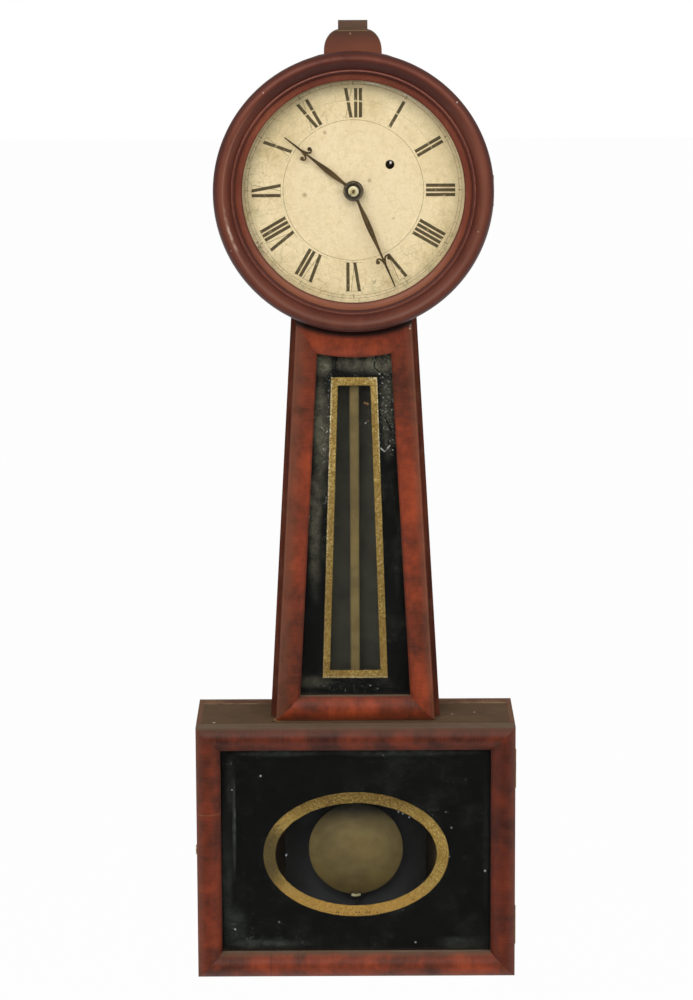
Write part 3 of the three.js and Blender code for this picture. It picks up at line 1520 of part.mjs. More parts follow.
// A round cord through points that lie in one plane of depth
function cordTube(points) {
  const sides = 8;
  const rings = points.map((point, i) => {
    const before = points[Math.max(i - 1, 0)];
    const after = points[Math.min(i + 1, points.length - 1)];
    const along = after.clone().sub(before).normalize();
    const across = new THREE.Vector3(along.z, 0, -along.x);
    const ring = [];
    for (let k = 0; k < sides; k++) {
      const angle = (2 * Math.PI * k) / sides;
      const offset = across.clone().multiplyScalar(Math.cos(angle) * cordRadius);
      offset.y = Math.sin(angle) * cordRadius;
      ring.push(point.clone().add(offset));
    }
    return ring;
  });
  const positions = rings.flat().flatMap((point) => point.toArray());
  const faces = [];
  for (let i = 0; i + 1 < rings.length; i++) {
    for (let k = 0; k < sides; k++) {
      const a = i * sides + k;
      const b = i * sides + ((k + 1) % sides);
      faces.push(a, b, b + sides, a, b + sides, a + sides);
    }
  }
  const last = (rings.length - 1) * sides;
  for (let k = 1; k + 1 < sides; k++) faces.push(0, k + 1, k, last, last + k, last + k + 1);
  const geometry = new THREE.BufferGeometry();
  geometry.setAttribute("position", new THREE.BufferAttribute(new Float32Array(positions), 3));
  geometry.setIndex(faces);
  if (solid(geometry).volume() < 0) {
    for (let i = 0; i < faces.length; i += 3) [faces[i], faces[i + 1]] = [faces[i + 1], faces[i]];
    geometry.setIndex(faces);
  }
  return geometry;
}

buildCase();
buildPlinth();
buildThroat();
buildDoor();
buildBezel();
buildPlates();
buildTrain();
buildMotionWork();
buildHands();
buildPendulum();
buildWeight();

export default part;
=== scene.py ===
# Banjo wall clock: veneered mahogany case, painted dial, black and gilt glasses, brass and steel works.
# Sizes are millimetres in the model's own frame, but metres for the camera, the floor and the lamps. The
# wall is y = 0, the front faces -y, and the hands turn at x = z = 0.
import json
import math

import bmesh
import bpy
from mathutils import Matrix, Vector, noise

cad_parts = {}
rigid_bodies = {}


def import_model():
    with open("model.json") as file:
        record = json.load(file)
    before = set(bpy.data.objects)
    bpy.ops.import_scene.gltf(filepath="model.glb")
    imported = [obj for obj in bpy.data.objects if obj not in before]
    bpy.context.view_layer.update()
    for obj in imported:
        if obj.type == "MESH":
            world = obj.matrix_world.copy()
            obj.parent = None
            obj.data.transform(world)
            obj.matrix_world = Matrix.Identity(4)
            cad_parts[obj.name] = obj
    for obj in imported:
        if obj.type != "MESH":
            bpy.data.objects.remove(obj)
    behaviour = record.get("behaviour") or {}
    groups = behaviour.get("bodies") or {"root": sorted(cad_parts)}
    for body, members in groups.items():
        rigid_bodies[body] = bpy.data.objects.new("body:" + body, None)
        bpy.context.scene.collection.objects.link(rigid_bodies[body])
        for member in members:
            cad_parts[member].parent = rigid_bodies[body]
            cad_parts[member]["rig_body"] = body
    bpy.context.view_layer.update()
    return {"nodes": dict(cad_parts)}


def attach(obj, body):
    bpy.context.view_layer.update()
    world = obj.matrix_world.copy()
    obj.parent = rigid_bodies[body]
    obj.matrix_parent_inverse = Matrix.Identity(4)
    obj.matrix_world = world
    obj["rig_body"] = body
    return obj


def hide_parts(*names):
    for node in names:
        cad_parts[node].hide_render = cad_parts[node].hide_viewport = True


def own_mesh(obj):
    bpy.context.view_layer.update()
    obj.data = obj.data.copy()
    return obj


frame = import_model()
nodes = frame["nodes"]
mm = 0.001


def addObject(name, data):
    made = bpy.data.objects.new(name, data)
    bpy.context.scene.collection.objects.link(made)
    return made


# the camera, where the photograph was taken from
view = {"place": (-0.0064, -2.9, 0.3), "down": 10.904, "roll": -0.25, "lens": 131.15, "sensor": 36}
cameraData = bpy.data.cameras.new("camera")
cameraData.sensor_fit = "VERTICAL"
cameraData.sensor_height = view["sensor"]
cameraData.lens = view["lens"]
cameraData.clip_end = 100
camera = addObject("camera", cameraData)
camera.matrix_world = (
    Matrix.Translation(view["place"])
    @ Matrix.Rotation(math.radians(90 - view["down"]), 4, "X")
    @ Matrix.Rotation(math.radians(view["roll"]), 4, "Z")
)
bpy.context.scene.camera = camera
bpy.context.scene.view_settings.view_transform = "Standard"
print("camera placed")


# shader maths
def tint(red, green, blue):  # 0 to 255, as seen on a screen
    shares = [c / 255 for c in (red, green, blue)]
    return tuple(c / 12.92 if c <= 0.04045 else ((c + 0.055) / 1.055) ** 2.4 for c in shares)


class Flow:  # one socket, so that an expression on it adds its nodes
    def __init__(self, paint, socket):
        self.paint = paint
        self.socket = socket

    def work(self, operation, first, second):
        kinds = {side.socket.type for side in (first, second) if isinstance(side, Flow)}
        if "RGBA" in kinds:
            mix = {"data_type": "RGBA", "blend_type": operation}
            return self.paint.node("ShaderNodeMix", mix, {0: 1.0, 6: first, 7: second}, 2)
        if "VECTOR" in kinds:
            return self.paint.node("ShaderNodeVectorMath", {"operation": operation}, {0: first, 1: second})
        return self.paint.node("ShaderNodeMath", {"operation": operation}, {0: first, 1: second})

    def __add__(self, other):
        return self.work("ADD", self, other)

    def __radd__(self, other):
        return self.work("ADD", other, self)

    def __sub__(self, other):
        return self.work("SUBTRACT", self, other)

    def __rsub__(self, other):
        return self.work("SUBTRACT", other, self)

    def __mul__(self, other):
        return self.work("MULTIPLY", self, other)

    def __rmul__(self, other):
        return self.work("MULTIPLY", other, self)

    def __truediv__(self, other):
        return self.work("DIVIDE", self, other)

    def __neg__(self):
        return self * -1.0

    def __abs__(self):
        return self.paint.node("ShaderNodeMath", {"operation": "ABSOLUTE"}, {0: self})

    def most(self, other):
        return self.work("MAXIMUM", self, other)

    def least(self, other):
        return self.work("MINIMUM", self, other)

    def rise(self, low, high):  # 0 below low, 1 above high, eased between; falls where low is above high
        eased = {"interpolation_type": "SMOOTHSTEP"}
        return self.paint.node("ShaderNodeMapRange", eased, {0: self, 1: low, 2: high})

    def near(self, middle, half, soft=0.4):  # 1 within half of the middle, eased out over a share of it
        return abs(self - middle).rise(half * (1 + soft), half * (1 - soft))


def strongest(shares):
    total = shares[0]
    for share in shares[1:]:
        total = total.most(share)
    return total


class Finish:  # one material, or the world round the object
    def __init__(self, name, holder=None):
        self.holder = holder or bpy.data.materials.new(name)
        self.holder.use_nodes = True
        self.tree = self.holder.node_tree
        self.tree.nodes.clear()

    def feed(self, socket, value):
        if isinstance(value, Flow):
            self.tree.links.new(value.socket, socket)
        elif socket.type == "RGBA":
            socket.default_value = (*value, 1.0) if isinstance(value, tuple) else (value, value, value, 1.0)
        elif socket.type == "VECTOR" and not isinstance(value, tuple):
            socket.default_value = (value, value, value)
        else:
            socket.default_value = value

    def node(self, kind, settings=None, sockets=None, out=0):
        made = self.tree.nodes.new(kind)
        for key, value in (settings or {}).items():
            if key == "stops":
                elements = made.color_ramp.elements
                elements[0].position, elements[-1].position = value[0][0], value[-1][0]
                for place, _ in value[1:-1]:
                    elements.new(place)
                for element, (_, colour) in zip(elements, value):
                    element.color = (*colour, 1.0)
            else:
                setattr(made, key, value)
        for key, value in (sockets or {}).items():
            self.feed(made.inputs[key], value)
        return Flow(self, made.outputs[out]) if made.outputs else None

    def outputs(self, kind, sockets=None):  # every output of a new node, by its name
        made = self.node(kind, None, sockets).socket.node
        return {socket.name: Flow(self, socket) for socket in made.outputs}

    def place(self):  # millimetres, on the piece at rest
        return self.node("ShaderNodeTexCoord", None, None, "Object") * 1000.0

    def parts(self, vector):
        return self.outputs("ShaderNodeSeparateXYZ", {0: vector}).values()

    def point(self, x, y, z):
        return self.node("ShaderNodeCombineXYZ", None, {0: x, 1: y, 2: z})

    def length(self, vector):
        return self.node("ShaderNodeVectorMath", {"operation": "LENGTH"}, {0: vector}, "Value")

    def noise(self, vector, scale=1.0, detail=2.0, rough=0.5, bend=0.0):  # about 0.3 to 0.7
        sockets = {"Vector": vector, "Scale": scale, "Detail": detail, "Roughness": rough, "Distortion": bend}
        return self.node("ShaderNodeTexNoise", None, sockets)

    def cells(self, vector, scale, feature="F1", uneven=1.0):
        sockets = {"Vector": vector, "Scale": scale, "Randomness": uneven}
        return self.node("ShaderNodeTexVoronoi", {"feature": feature}, sockets)

    def ramp(self, value, stops):
        return self.node("ShaderNodeValToRGB", {"stops": stops}, {0: value})

    def blend(self, first, second, share):
        return self.node("ShaderNodeMix", {"data_type": "RGBA"}, {0: share, 6: first, 7: second}, 2)

    def bump(self, height, high):  # both in millimetres
        return self.node("ShaderNodeBump", None, {"Height": height, "Distance": high * mm, "Strength": 1.0})

    def spots(self, x, z, places, soft=0.5):  # round spots: (x, z, radius)
        return strongest([
            self.length(self.point(x - spotX, 0.0, z - spotZ)).rise(radius * (1 + soft), radius * (1 - soft))
            for spotX, spotZ, radius in places
        ])

    def patches(self, x, z, places, uneven, low, high):  # ovals: (x, z, half width, half height, strength)
        shares = []
        for middleX, middleZ, wide, tall, strength in places:
            far = self.length(self.point((x - middleX) / wide, 0.0, (z - middleZ) / tall))
            shares.append((far + uneven).rise(low, high) * strength)
        return shares

    def strokes(self, x, z, lines):  # thin scratches: (from x, from z, to x, to z, half width)
        shares = []
        for startX, startZ, endX, endZ, half in lines:
            runX, runZ = endX - startX, endZ - startZ
            share = ((x - startX) * runX + (z - startZ) * runZ) / (runX * runX + runZ * runZ)
            share = share.most(0.0).least(1.0)
            far = self.length(self.point(x - startX - share * runX, 0.0, z - startZ - share * runZ))
            shares.append(far.rise(half * 1.6, half * 0.4))
        return strongest(shares)

    def upward(self):  # 1 on faces that look up, where dust settles
        x, y, z = self.parts(self.node("ShaderNodeTexCoord", None, None, "Normal"))
        return z.rise(0.6, 0.92)

    def close(self, shader, kind="ShaderNodeOutputMaterial"):
        self.node(kind, None, {"Surface": shader})
        return self.holder

    def surface(self, colour, rough, fixed, height, high, metal=0.0):
        sockets = {"Base Color": colour, "Roughness": rough, "Metallic": metal, **fixed}
        sockets["Normal"] = self.bump(height, high)
        return self.close(self.node("ShaderNodeBsdfPrincipled", None, sockets))


# wood
mahoganyTones = {
    "dark": tint(56, 24, 14), "brown": tint(92, 42, 24), "red": tint(122, 50, 26),
    "bright": tint(152, 64, 31), "worn": tint(134, 92, 66), "dust": tint(104, 86, 68),
}


def veneer(name, look):
    # cross-banded veneer: the grain runs across the member, so its figure changes along it
    wood = Finish(name)
    tones = mahoganyTones
    x, y, z = wood.parts(wood.place())
    along, across = (z, x) if look["run"] == "z" else (x, z)
    shift = look["seed"] * 37.0
    wander = wood.noise(wood.point(across * 0.05, y * 0.05, along * 0.03 + shift), 1.0, 2.0) - 0.5
    broad = wood.noise(wood.point(across * 0.012, y * 0.01, along * 0.022 + shift), 1.0, 2.0) - 0.5
    winding = (along + wander * 9.0) * 0.12 + shift
    streak = wood.noise(wood.point(across * 0.02, y * 0.03, winding), 1.0, 3.0, 0.55) - 0.5
    fine = wood.noise(wood.point(across * 0.07, y * 0.08, along * 1.3 + shift), 1.0, 2.0) - 0.5
    mottle = wood.noise(wood.point(across * 0.1, y * 0.1, along * 0.085 + shift), 1.0, 3.0, 0.6) - 0.5
    tone = 0.5 + look.get("lift", 0.0) + broad * 0.7 + streak * 0.36 + fine * 0.36 + mottle * 0.95
    for middle, half, strength in look["bands"]:
        tone = tone + (along + wander * 30.0).near(middle, half, 0.8) * strength
    stops = [(0.12, tones["dark"]), (0.38, tones["brown"]), (0.62, tones["red"]), (0.95, tones["bright"])]
    colour = wood.ramp(tone, stops)
    colour = wood.blend(colour, tint(52, 12, 5), look.get("deep", 0.0))
    edge = look["edge"](x, z, abs(x))  # millimetres in from the member's outer edge
    browned = edge.rise(look.get("brown", 6.5), 1.0) * look.get("browning", 0.7)
    colour = wood.blend(colour, look.get("browned", tint(104, 64, 46)), browned * 0.7)
    line = edge.near(look.get("line", 1.1), 0.35, 0.9) * look.get("lining", 0.35)
    colour = wood.blend(colour, look.get("lined", tones["worn"]), line)
    # painted shade along the member's inner edge, in the angle where it drops to the glass
    inner = edge.rise(look["wide"] - 2.0, look["wide"] - 0.3) * 0.4
    colour = wood.blend(colour, tones["dark"], inner)
    pores = wood.noise(
        wood.point(across * 0.5, y * 0.5, along * 5.0 + shift), 1.0, 1.0,
    ).rise(0.36, 0.28) * 0.2
    colour = wood.blend(colour, tones["dark"], pores)
    for seam, seamTone in look.get("seams", []):
        colour = wood.blend(colour, tones[seamTone], along.near(seam, 0.28, 0.9) * 0.6)
    for speckTone, places in look.get("specks", []):
        colour = wood.blend(colour, speckTone, wood.spots(x, z, places) * 0.9)
    scratch = wood.noise(wood.point(x * 0.9, y * 0.9, z * 0.9), 0.3, 4.0, 0.7) - 0.5
    soot = wood.noise(wood.point(x, y, z), 0.05, 4.0, 0.65)
    colour = wood.blend(colour, tones["dark"], soot.rise(0.5, 0.7) * 0.3)
    if "under" in look:  # painted shadow in the angle under the bezel
        radius = wood.length(wood.point(x, 0.0, z))
        colour = wood.blend(colour, tint(18, 7, 4), radius.rise(look["under"], 112.2) * 0.94)
    dust = wood.upward()
    colour = wood.blend(colour, tones["dust"], dust * (soot.rise(0.2, 0.6) * 0.4 + 0.6))
    rough = 0.48 + scratch * 0.25 + fine * 0.2 + dust * 0.4
    bump = fine * 0.4 + streak * 0.4 + scratch * 0.25
    coat = {"Coat Weight": (1.0 - dust) * 0.08, "Coat Roughness": 0.32, "Specular IOR Level": 0.2}
    return wood.surface(colour, rough, coat, bump, 0.12)


def plainWood(name, look):
    # solid wood with the grain along one axis
    wood = Finish(name)
    x, y, z = wood.parts(wood.place())
    axes = {"x": (x, y, z), "y": (y, x, z), "z": (z, x, y)}[look["grain"]]
    along, first, second = axes
    wave = wood.noise(wood.point(along * 0.012, first * 0.05, second * 0.05), 1.0, 3.0) - 0.5
    lines = wood.noise(wood.point(along * 0.012, first * 0.55 + wave * 5.0, second * 0.55), 1.0, 3.0) - 0.5
    fine = wood.noise(wood.point(along * 0.05, first * 2.2, second * 2.2), 1.0, 2.0) - 0.5
    patch = wood.noise(wood.point(x, y, z), 0.03, 3.0) - 0.5
    figure = look.get("figure", 0.7)
    tone = 0.5 + (wave * 0.6 + lines * 0.9 + fine * 0.5) * figure + patch * 0.5
    colour = wood.ramp(tone, [(0.15, look["dark"]), (0.5, look["middle"]), (0.9, look["light"])])
    pores = wood.noise(wood.point(along * 0.35, first * 4.0, second * 4.0), 1.0, 1.0).rise(0.37, 0.29)
    colour = wood.blend(colour, look["dark"], pores * 0.4)
    dust = wood.upward()
    colour = wood.blend(colour, look.get("upper", mahoganyTones["dust"]), dust * (patch * 1.2 + 0.75))
    if "wear" in look:
        colour = look["wear"](wood, colour, x, y, z)
    rough = look["rough"] + fine * 0.3 + patch * 0.2 + dust * 0.35
    coat = {
        "Coat Weight": (1.0 - dust) * look.get("coat", 0.08), "Coat Roughness": 0.3,
        "Specular IOR Level": look.get("shine", 0.22),
    }
    return wood.surface(colour, rough, coat, lines * 0.7 + fine * 0.7 - pores * 0.5, look.get("relief", 0.14))


def turnedWood(name, look):
    # a turned ring: one board's grain, with radius as its other axis, and painted light and shade on its
    # turned members
    wood = Finish(name)
    x, y, z = wood.parts(wood.place())
    radius = wood.length(wood.point(x, 0.0, z))
    wave = wood.noise(wood.point(x * 0.05, y * 0.05, z * 0.014), 1.0, 3.0) - 0.5
    lines = wood.noise(wood.point(x * 0.4 + wave * 4.0, y * 0.4, z * 0.025), 1.0, 3.0) - 0.5
    fine = wood.noise(wood.point(x * 1.7, y * 1.7, z * 0.16), 1.0, 2.0) - 0.5
    patch = wood.noise(wood.point(x, y, z), 0.022, 3.0) - 0.5
    tone = 0.5 + wave * 0.4 + lines * 0.4 + fine * 0.3 + patch * 0.9
    colour = wood.ramp(tone, [(0.1, look["dark"]), (0.5, look["middle"]), (0.95, look["light"])])
    if look.get("members"):
        # painted shade: darker towards the bottom, along the outer edge, and on the slope inside the crest,
        # most at the top where it faces down
        upper = z.rise(-70.0, 90.0)
        outer = radius.rise(103.6, 108.0)
        top = z.rise(10.0, 95.0)
        inner = (radius.rise(98.2, 95.8) * 0.5).most(radius.rise(105.2, 100.2) * top * 0.9)
        # a painted highlight along the crest
        crest = radius.near(101.4, 2.0, 0.9)
        colour = wood.blend(colour, look["crest"], crest * (0.4 - top * 0.3))
        colour = wood.blend(colour, look["edge"], (outer * 0.8).most(inner))
        colour = wood.blend(colour, tint(66, 20, 11), inner * top * 0.4)
        colour = wood.blend(colour, look["edge"], (1.0 - upper) * 0.42)
        # the cove is redder, and lighter and browner towards the bottom, painted light where it faces up
        cove = radius.rise(92.2, 91.4)
        redder = wood.ramp(
            tone, [(0.1, tint(84, 32, 19)), (0.5, tint(118, 56, 36)), (0.95, tint(146, 80, 52))],
        )
        colour = wood.blend(colour, wood.blend(redder, tint(138, 86, 60), z.rise(-20.0, -85.0) * 0.6), cove)
        # painted shade in the groove between the cove and the bead, and along the sight edge where the bezel
        # meets the dial
        sight = radius.rise(87.6, 86.6) * 0.7
        groove = (radius.near(92.0, 0.45, 0.9) * 0.6).most(sight)
        colour = wood.blend(colour, tint(66, 22, 14), groove)
        # a painted highlight along the bead, broken, and stronger at the top and the bottom
        lit = fine.rise(-0.16, 0.06) * 0.4 + abs(z).rise(10.0, 90.0) * 0.2 + 0.12
        colour = wood.blend(colour, tint(162, 100, 82), radius.near(94.4, 0.5, 0.9) * lit)
        specks = wood.spots(
            x, z, [(80.0, 70.0, 0.55), (-69.0, 78.0, 0.45), (96.5, -30.0, 0.35), (-95.0, -44.0, 0.3)],
        )
        colour = wood.blend(colour, tint(206, 186, 168), specks * 0.9)
        # a painted highlight: a broken whitish streak along the crest at the lower left
        streak = radius.near(100.6, 0.85, 0.9) * z.near(-29.0, 14.0, 0.5) * x.rise(-80.0, -85.0)
        broken = wood.noise(wood.point(x, y, z), 0.16, 3.0, 0.7).rise(0.38, 0.62)
        colour = wood.blend(colour, tint(196, 170, 154), streak * (broken * 0.75 + 0.1))
        # a faint painted highlight along the crest on the left
        paintedSheen = radius.near(101.2, 0.5, 0.9) * x.rise(-70.0, -95.0) * 0.3
        colour = wood.blend(colour, tint(168, 118, 96), paintedSheen)
    scratch = wood.noise(wood.point(x, y, z), 0.5, 4.0, 0.7) - 0.5
    rough = 0.46 + scratch * 0.3 + fine * 0.2
    coat = {"Coat Weight": 0.1, "Coat Roughness": 0.32, "Specular IOR Level": 0.22}
    return wood.surface(colour, rough, coat, lines * 0.4 + fine * 0.5 + scratch * 0.4, 0.12)


def boardWear(wood, colour, x, y, z):
    # dust and rubbed arrises on the case's outside
    dust = wood.noise(wood.point(x, y, z), 0.06, 4.0, 0.65).rise(0.52, 0.68)
    return wood.blend(colour, mahoganyTones["dust"], dust * 0.18)


def backWear(wood, colour, x, y, z):
    inside = y.rise(-15.6, -15.9) * z.rise(-431.0, -432.0)
    colour = wood.blend(colour, tint(142, 118, 88), inside * abs(x).rise(121.0, 120.0))
    # the back board's top edge is rubbed pale along its front arris
    boxTop = z.rise(-425.4, -424.7) * z.rise(-400.0, -410.0) * abs(x).rise(60.0, 70.0)
    arris = (y + 15.4).near(0.0, 0.7, 0.9) * boxTop
    strip = y.rise(-15.9, -15.4) * boxTop
    worn = wood.noise(wood.point(x * 0.2, y, z), 0.35, 3.0, 0.7)
    bared = wood.blend(tint(96, 62, 44), tint(134, 96, 66), worn.rise(0.46, 0.6))
    colour = wood.blend(colour, bared, strip * 0.8)
    colour = wood.blend(colour, tint(176, 146, 104), arris * worn.rise(0.36, 0.56))
    return boardWear(wood, colour, x, y, z)


def plinthWear(wood, colour, x, y, z):
    # darker towards its rounded top, with a pale line where the block sits
    colour = wood.blend(colour, tint(72, 50, 36), z.rise(112.0, 123.5) * 0.7)
    colour = wood.blend(colour, tint(134, 76, 52), z.rise(120.0, 108.0) * x.rise(-4.0, 14.0) * 0.35)
    colour = wood.blend(colour, tint(136, 116, 78), z.rise(123.0, 123.9) * abs(x).rise(13.5, 12.0) * 0.7)
    speck = wood.spots(x, z, [(-2.0, 121.4, 0.7)])
    colour = wood.blend(colour, tint(160, 128, 100), speck * 0.8)
    return wood.blend(colour, mahoganyTones["dust"], wood.upward() * 0.7)


caseWood = {
    "grain": "z", "dark": tint(48, 22, 13), "middle": tint(92, 42, 24), "light": tint(126, 60, 36),
    "rough": 0.48, "wear": boardWear,
}
plinthWood = {
    "grain": "x", "dark": tint(84, 44, 30), "middle": tint(112, 62, 43), "light": tint(136, 78, 54),
    "rough": 0.52, "figure": 0.35, "relief": 0.05, "wear": plinthWear,
}
backWood = {
    "grain": "z", "dark": tint(40, 25, 17), "middle": tint(82, 56, 40), "light": tint(112, 82, 58),
    "rough": 0.62, "coat": 0.0, "shine": 0.25, "wear": backWear,
}
# edge and crest are the colours of the bezel's painted shade and painted highlight
turned = {
    "dark": tint(72, 30, 19), "middle": tint(112, 55, 37), "light": tint(136, 72, 48), "members": True,
    "edge": tint(62, 25, 18), "crest": tint(146, 94, 72),
}


def topWear(wood, colour, x, y, z):
    # grime lies thick on the top of the box, thinner towards its rim
    grime = wood.noise(wood.point(x * 0.6, y * 1.0, z), 0.09, 4.0, 0.65)
    colour = wood.blend(colour, tint(88, 70, 50), grime.rise(0.36, 0.62) * 0.7)
    colour = wood.blend(colour, tint(118, 98, 72), grime.rise(0.56, 0.72) * 0.4)
    # a chip beside the throat's corner, and pale specks
    chip = wood.spots(x, y, [(-62.5, -70.0, 2.6), (-64.0, -66.0, 1.6)], 0.7)
    colour = wood.blend(colour, tint(176, 124, 76), chip * 0.85)
    colour = wood.blend(colour, tint(26, 15, 10), wood.spots(x, y, [(-65.5, -73.0, 1.6)], 0.7) * 0.9)
    specks = wood.spots(x, y, [(-113.0, -76.4, 1.1), (78.0, -52.0, 0.8), (96.0, -46.0, 0.8)])
    return wood.blend(colour, tint(214, 196, 176), specks * 0.8)


topWood = {
    "grain": "x", "dark": tint(50, 36, 25), "middle": tint(78, 58, 41), "light": tint(100, 78, 56),
    "rough": 0.8, "coat": 0.0, "shine": 0.15, "relief": 0.2, "wear": topWear, "upper": tint(102, 80, 58),
}


def sideWear(wood, colour, x, y, z):
    # bright worn arrises along the box's top edges
    rim = z.rise(-427.2, -424.9)
    colour = wood.blend(colour, tint(120, 84, 60), rim * 0.5)
    inside = abs(x).rise(120.0, 119.6) * y.rise(-5.0, -6.0)
    colour = wood.blend(colour, tint(132, 100, 70), inside * z.rise(-430.0, -432.0))
    return boardWear(wood, colour, x, y, z)


sideWood = dict(caseWood, wear=sideWear, upper=tint(102, 76, 56))


# metals, paints, glass
def metalFinish(name, look):
    # rubbed and tarnished metal
    metal = Finish(name)
    place = metal.place()
    x, y, z = metal.parts(place)
    cloud = metal.noise(place, look.get("cloud", 0.07), 4.0, 0.6)
    grain = metal.noise(place, look.get("grain", 1.2), 3.0, 0.6)
    colour = metal.blend(look["clean"], look["stained"], cloud.rise(0.36, 0.66))
    colour = metal.blend(colour, look["spotted"], grain.rise(0.56, 0.7) * 0.6)
    if "extra" in look:
        colour = look["extra"](metal, colour, x, y, z)
    rough = look["rough"] + (cloud - 0.5) * 0.4 + (grain - 0.5) * 0.25
    fixed = {"Specular IOR Level": look.get("shine", 0.5)}
    # a painted glint that glows, standing in for a highlight
    if "glow" in look:
        glow = look["glow"](metal, x, y, z)
        fixed["Emission Color"] = metal.blend((0.0, 0.0, 0.0), tint(236, 230, 222), glow)
        fixed["Emission Strength"] = 1.0
    return metal.surface(colour, rough, fixed, grain, look.get("relief", 0.03), look["metal"])


def bobShade(metal, colour, x, y, z):
    ring = metal.noise(metal.point(x * 0.02, y, z * 0.11), 1.0, 3.0)
    colour = metal.blend(colour, tint(124, 112, 72), ring.rise(0.5, 0.66) * 0.25)
    # painted shadow across the top of the bob, under the edge of the oval
    colour = metal.blend(colour, tint(30, 27, 17), z.rise(-514.0, -500.0) * z.rise(-494.0, -496.5) * 0.9)
    # painted shade: darker towards the bottom
    colour = metal.blend(colour, tint(64, 54, 30), z.rise(-540.0, -572.0) * 0.4)
    # painted shade along the rod's edges
    sides = abs(x).rise(2.2, 4.2) * z.rise(-494.0, -492.0)
    colour = metal.blend(colour, tint(58, 52, 32), sides * 0.8)
    # the threaded end below the nut is darkened almost to black
    return metal.blend(colour, tint(20, 18, 14), z.rise(-576.0, -577.5) * abs(x).rise(2.6, 2.0))


brassFinish = {
    "clean": tint(176, 148, 88), "stained": tint(120, 96, 52), "spotted": tint(78, 60, 32), "rough": 0.36,
    "metal": 0.9,
}
agedBrassFinish = {
    "clean": tint(121, 102, 57), "stained": tint(102, 85, 46), "spotted": tint(84, 70, 40), "rough": 0.56,
    "metal": 0.2, "cloud": 0.045, "extra": bobShade,
}
steelFinish = {
    "clean": tint(150, 150, 150), "stained": tint(96, 94, 90), "spotted": tint(70, 58, 48), "rough": 0.34,
    "metal": 0.95,
}


def bossShade(metal, colour, x, y, z):
    # the hands' boss: greyer, with painted shade in the ring round the collet and a broken painted sheen
    # along its rim
    radius = metal.length(metal.point(x, 0.0, z))
    colour = metal.blend(colour, tint(58, 52, 44), radius.rise(8.6, 7.8) * 0.6)
    colour = metal.blend(colour, tint(26, 22, 18), radius.near(4.9, 0.5, 0.6) * 0.8)
    paintedSheen = metal.noise(metal.place(), 0.4, 2.0, 0.6).rise(0.4, 0.6)
    return metal.blend(colour, tint(150, 140, 120), radius.near(6.9, 0.25, 0.8) * (paintedSheen * 0.5 + 0.15))


bluedFinish = {
    "clean": tint(86, 66, 38), "stained": tint(66, 52, 30), "spotted": tint(108, 84, 54), "rough": 0.52,
    "metal": 0.1, "relief": 0.02, "shine": 0.18, "extra": bossShade,
}
ironFinish = {
    "clean": tint(70, 66, 60), "stained": tint(46, 42, 38), "spotted": tint(96, 62, 40), "rough": 0.66,
    "metal": 0.55, "cloud": 0.04, "relief": 0.12,
}


def baffleEdgeShade(metal, colour, x, y, z):
    # darker where it hangs in the box, and painted shade darkening it towards its edges, where the case
    # closes round it
    box = z.rise(-440.0, -470.0)
    colour = metal.blend(colour, tint(46, 46, 48), box)
    return metal.blend(colour, tint(19, 17, 16), abs(x).rise(30.0, 52.0) * box)


baffleFinish = dict(
    ironFinish, clean=tint(62, 60, 48), stained=tint(54, 52, 42), spotted=tint(66, 58, 44), rough=0.8,
    metal=0.1, extra=baffleEdgeShade,
)


def windingEndShade(metal, colour, x, y, z):
    # painted shade: the arbor's square end, deep in the winding hole, is darkened
    return metal.blend(colour, tint(46, 28, 22), y.rise(-54.0, -56.0))


def windingGlint(metal, x, y, z):
    # a painted glint on one corner of the square end, made to glow
    return metal.spots(x, z, [(29.1, 20.9, 0.8)]) * y.rise(-54.0, -56.0)


windingFinish = dict(brassFinish, extra=windingEndShade, glow=windingGlint, metal=0.6)


def clearGlass(name, look):
    # old window glass; light for what is behind it passes straight through
    glass = Finish(name)
    place = glass.place()
    wave = glass.noise(place, 0.02, 2.0)
    smear = glass.noise(place, 0.12, 4.0, 0.7)
    sockets = {
        "Base Color": (0.97, 0.985, 0.97), "Roughness": smear.rise(0.3, 0.9) * look["smear"], "IOR": 1.5,
        "Transmission Weight": 1.0, "Normal": glass.bump(wave, look["wave"]),
    }
    pane = glass.node("ShaderNodeBsdfPrincipled", None, sockets)
    through = glass.node("ShaderNodeBsdfTransparent")
    shadow = glass.node("ShaderNodeLightPath", None, None, "Is Shadow Ray")
    mixed = glass.node("ShaderNodeMixShader", None, {0: shadow, 1: pane, 2: through})
    x, y, z = glass.parts(place)
    for colour, marks in look.get("marks", []):  # dried specks, and a painted highlight along its edge
        opaque = glass.node("ShaderNodeBsdfDiffuse", None, {"Color": colour})
        mixed = glass.node("ShaderNodeMixShader", None, {0: marks(glass, x, z, smear), 1: mixed, 2: opaque})
    return glass.close(mixed)


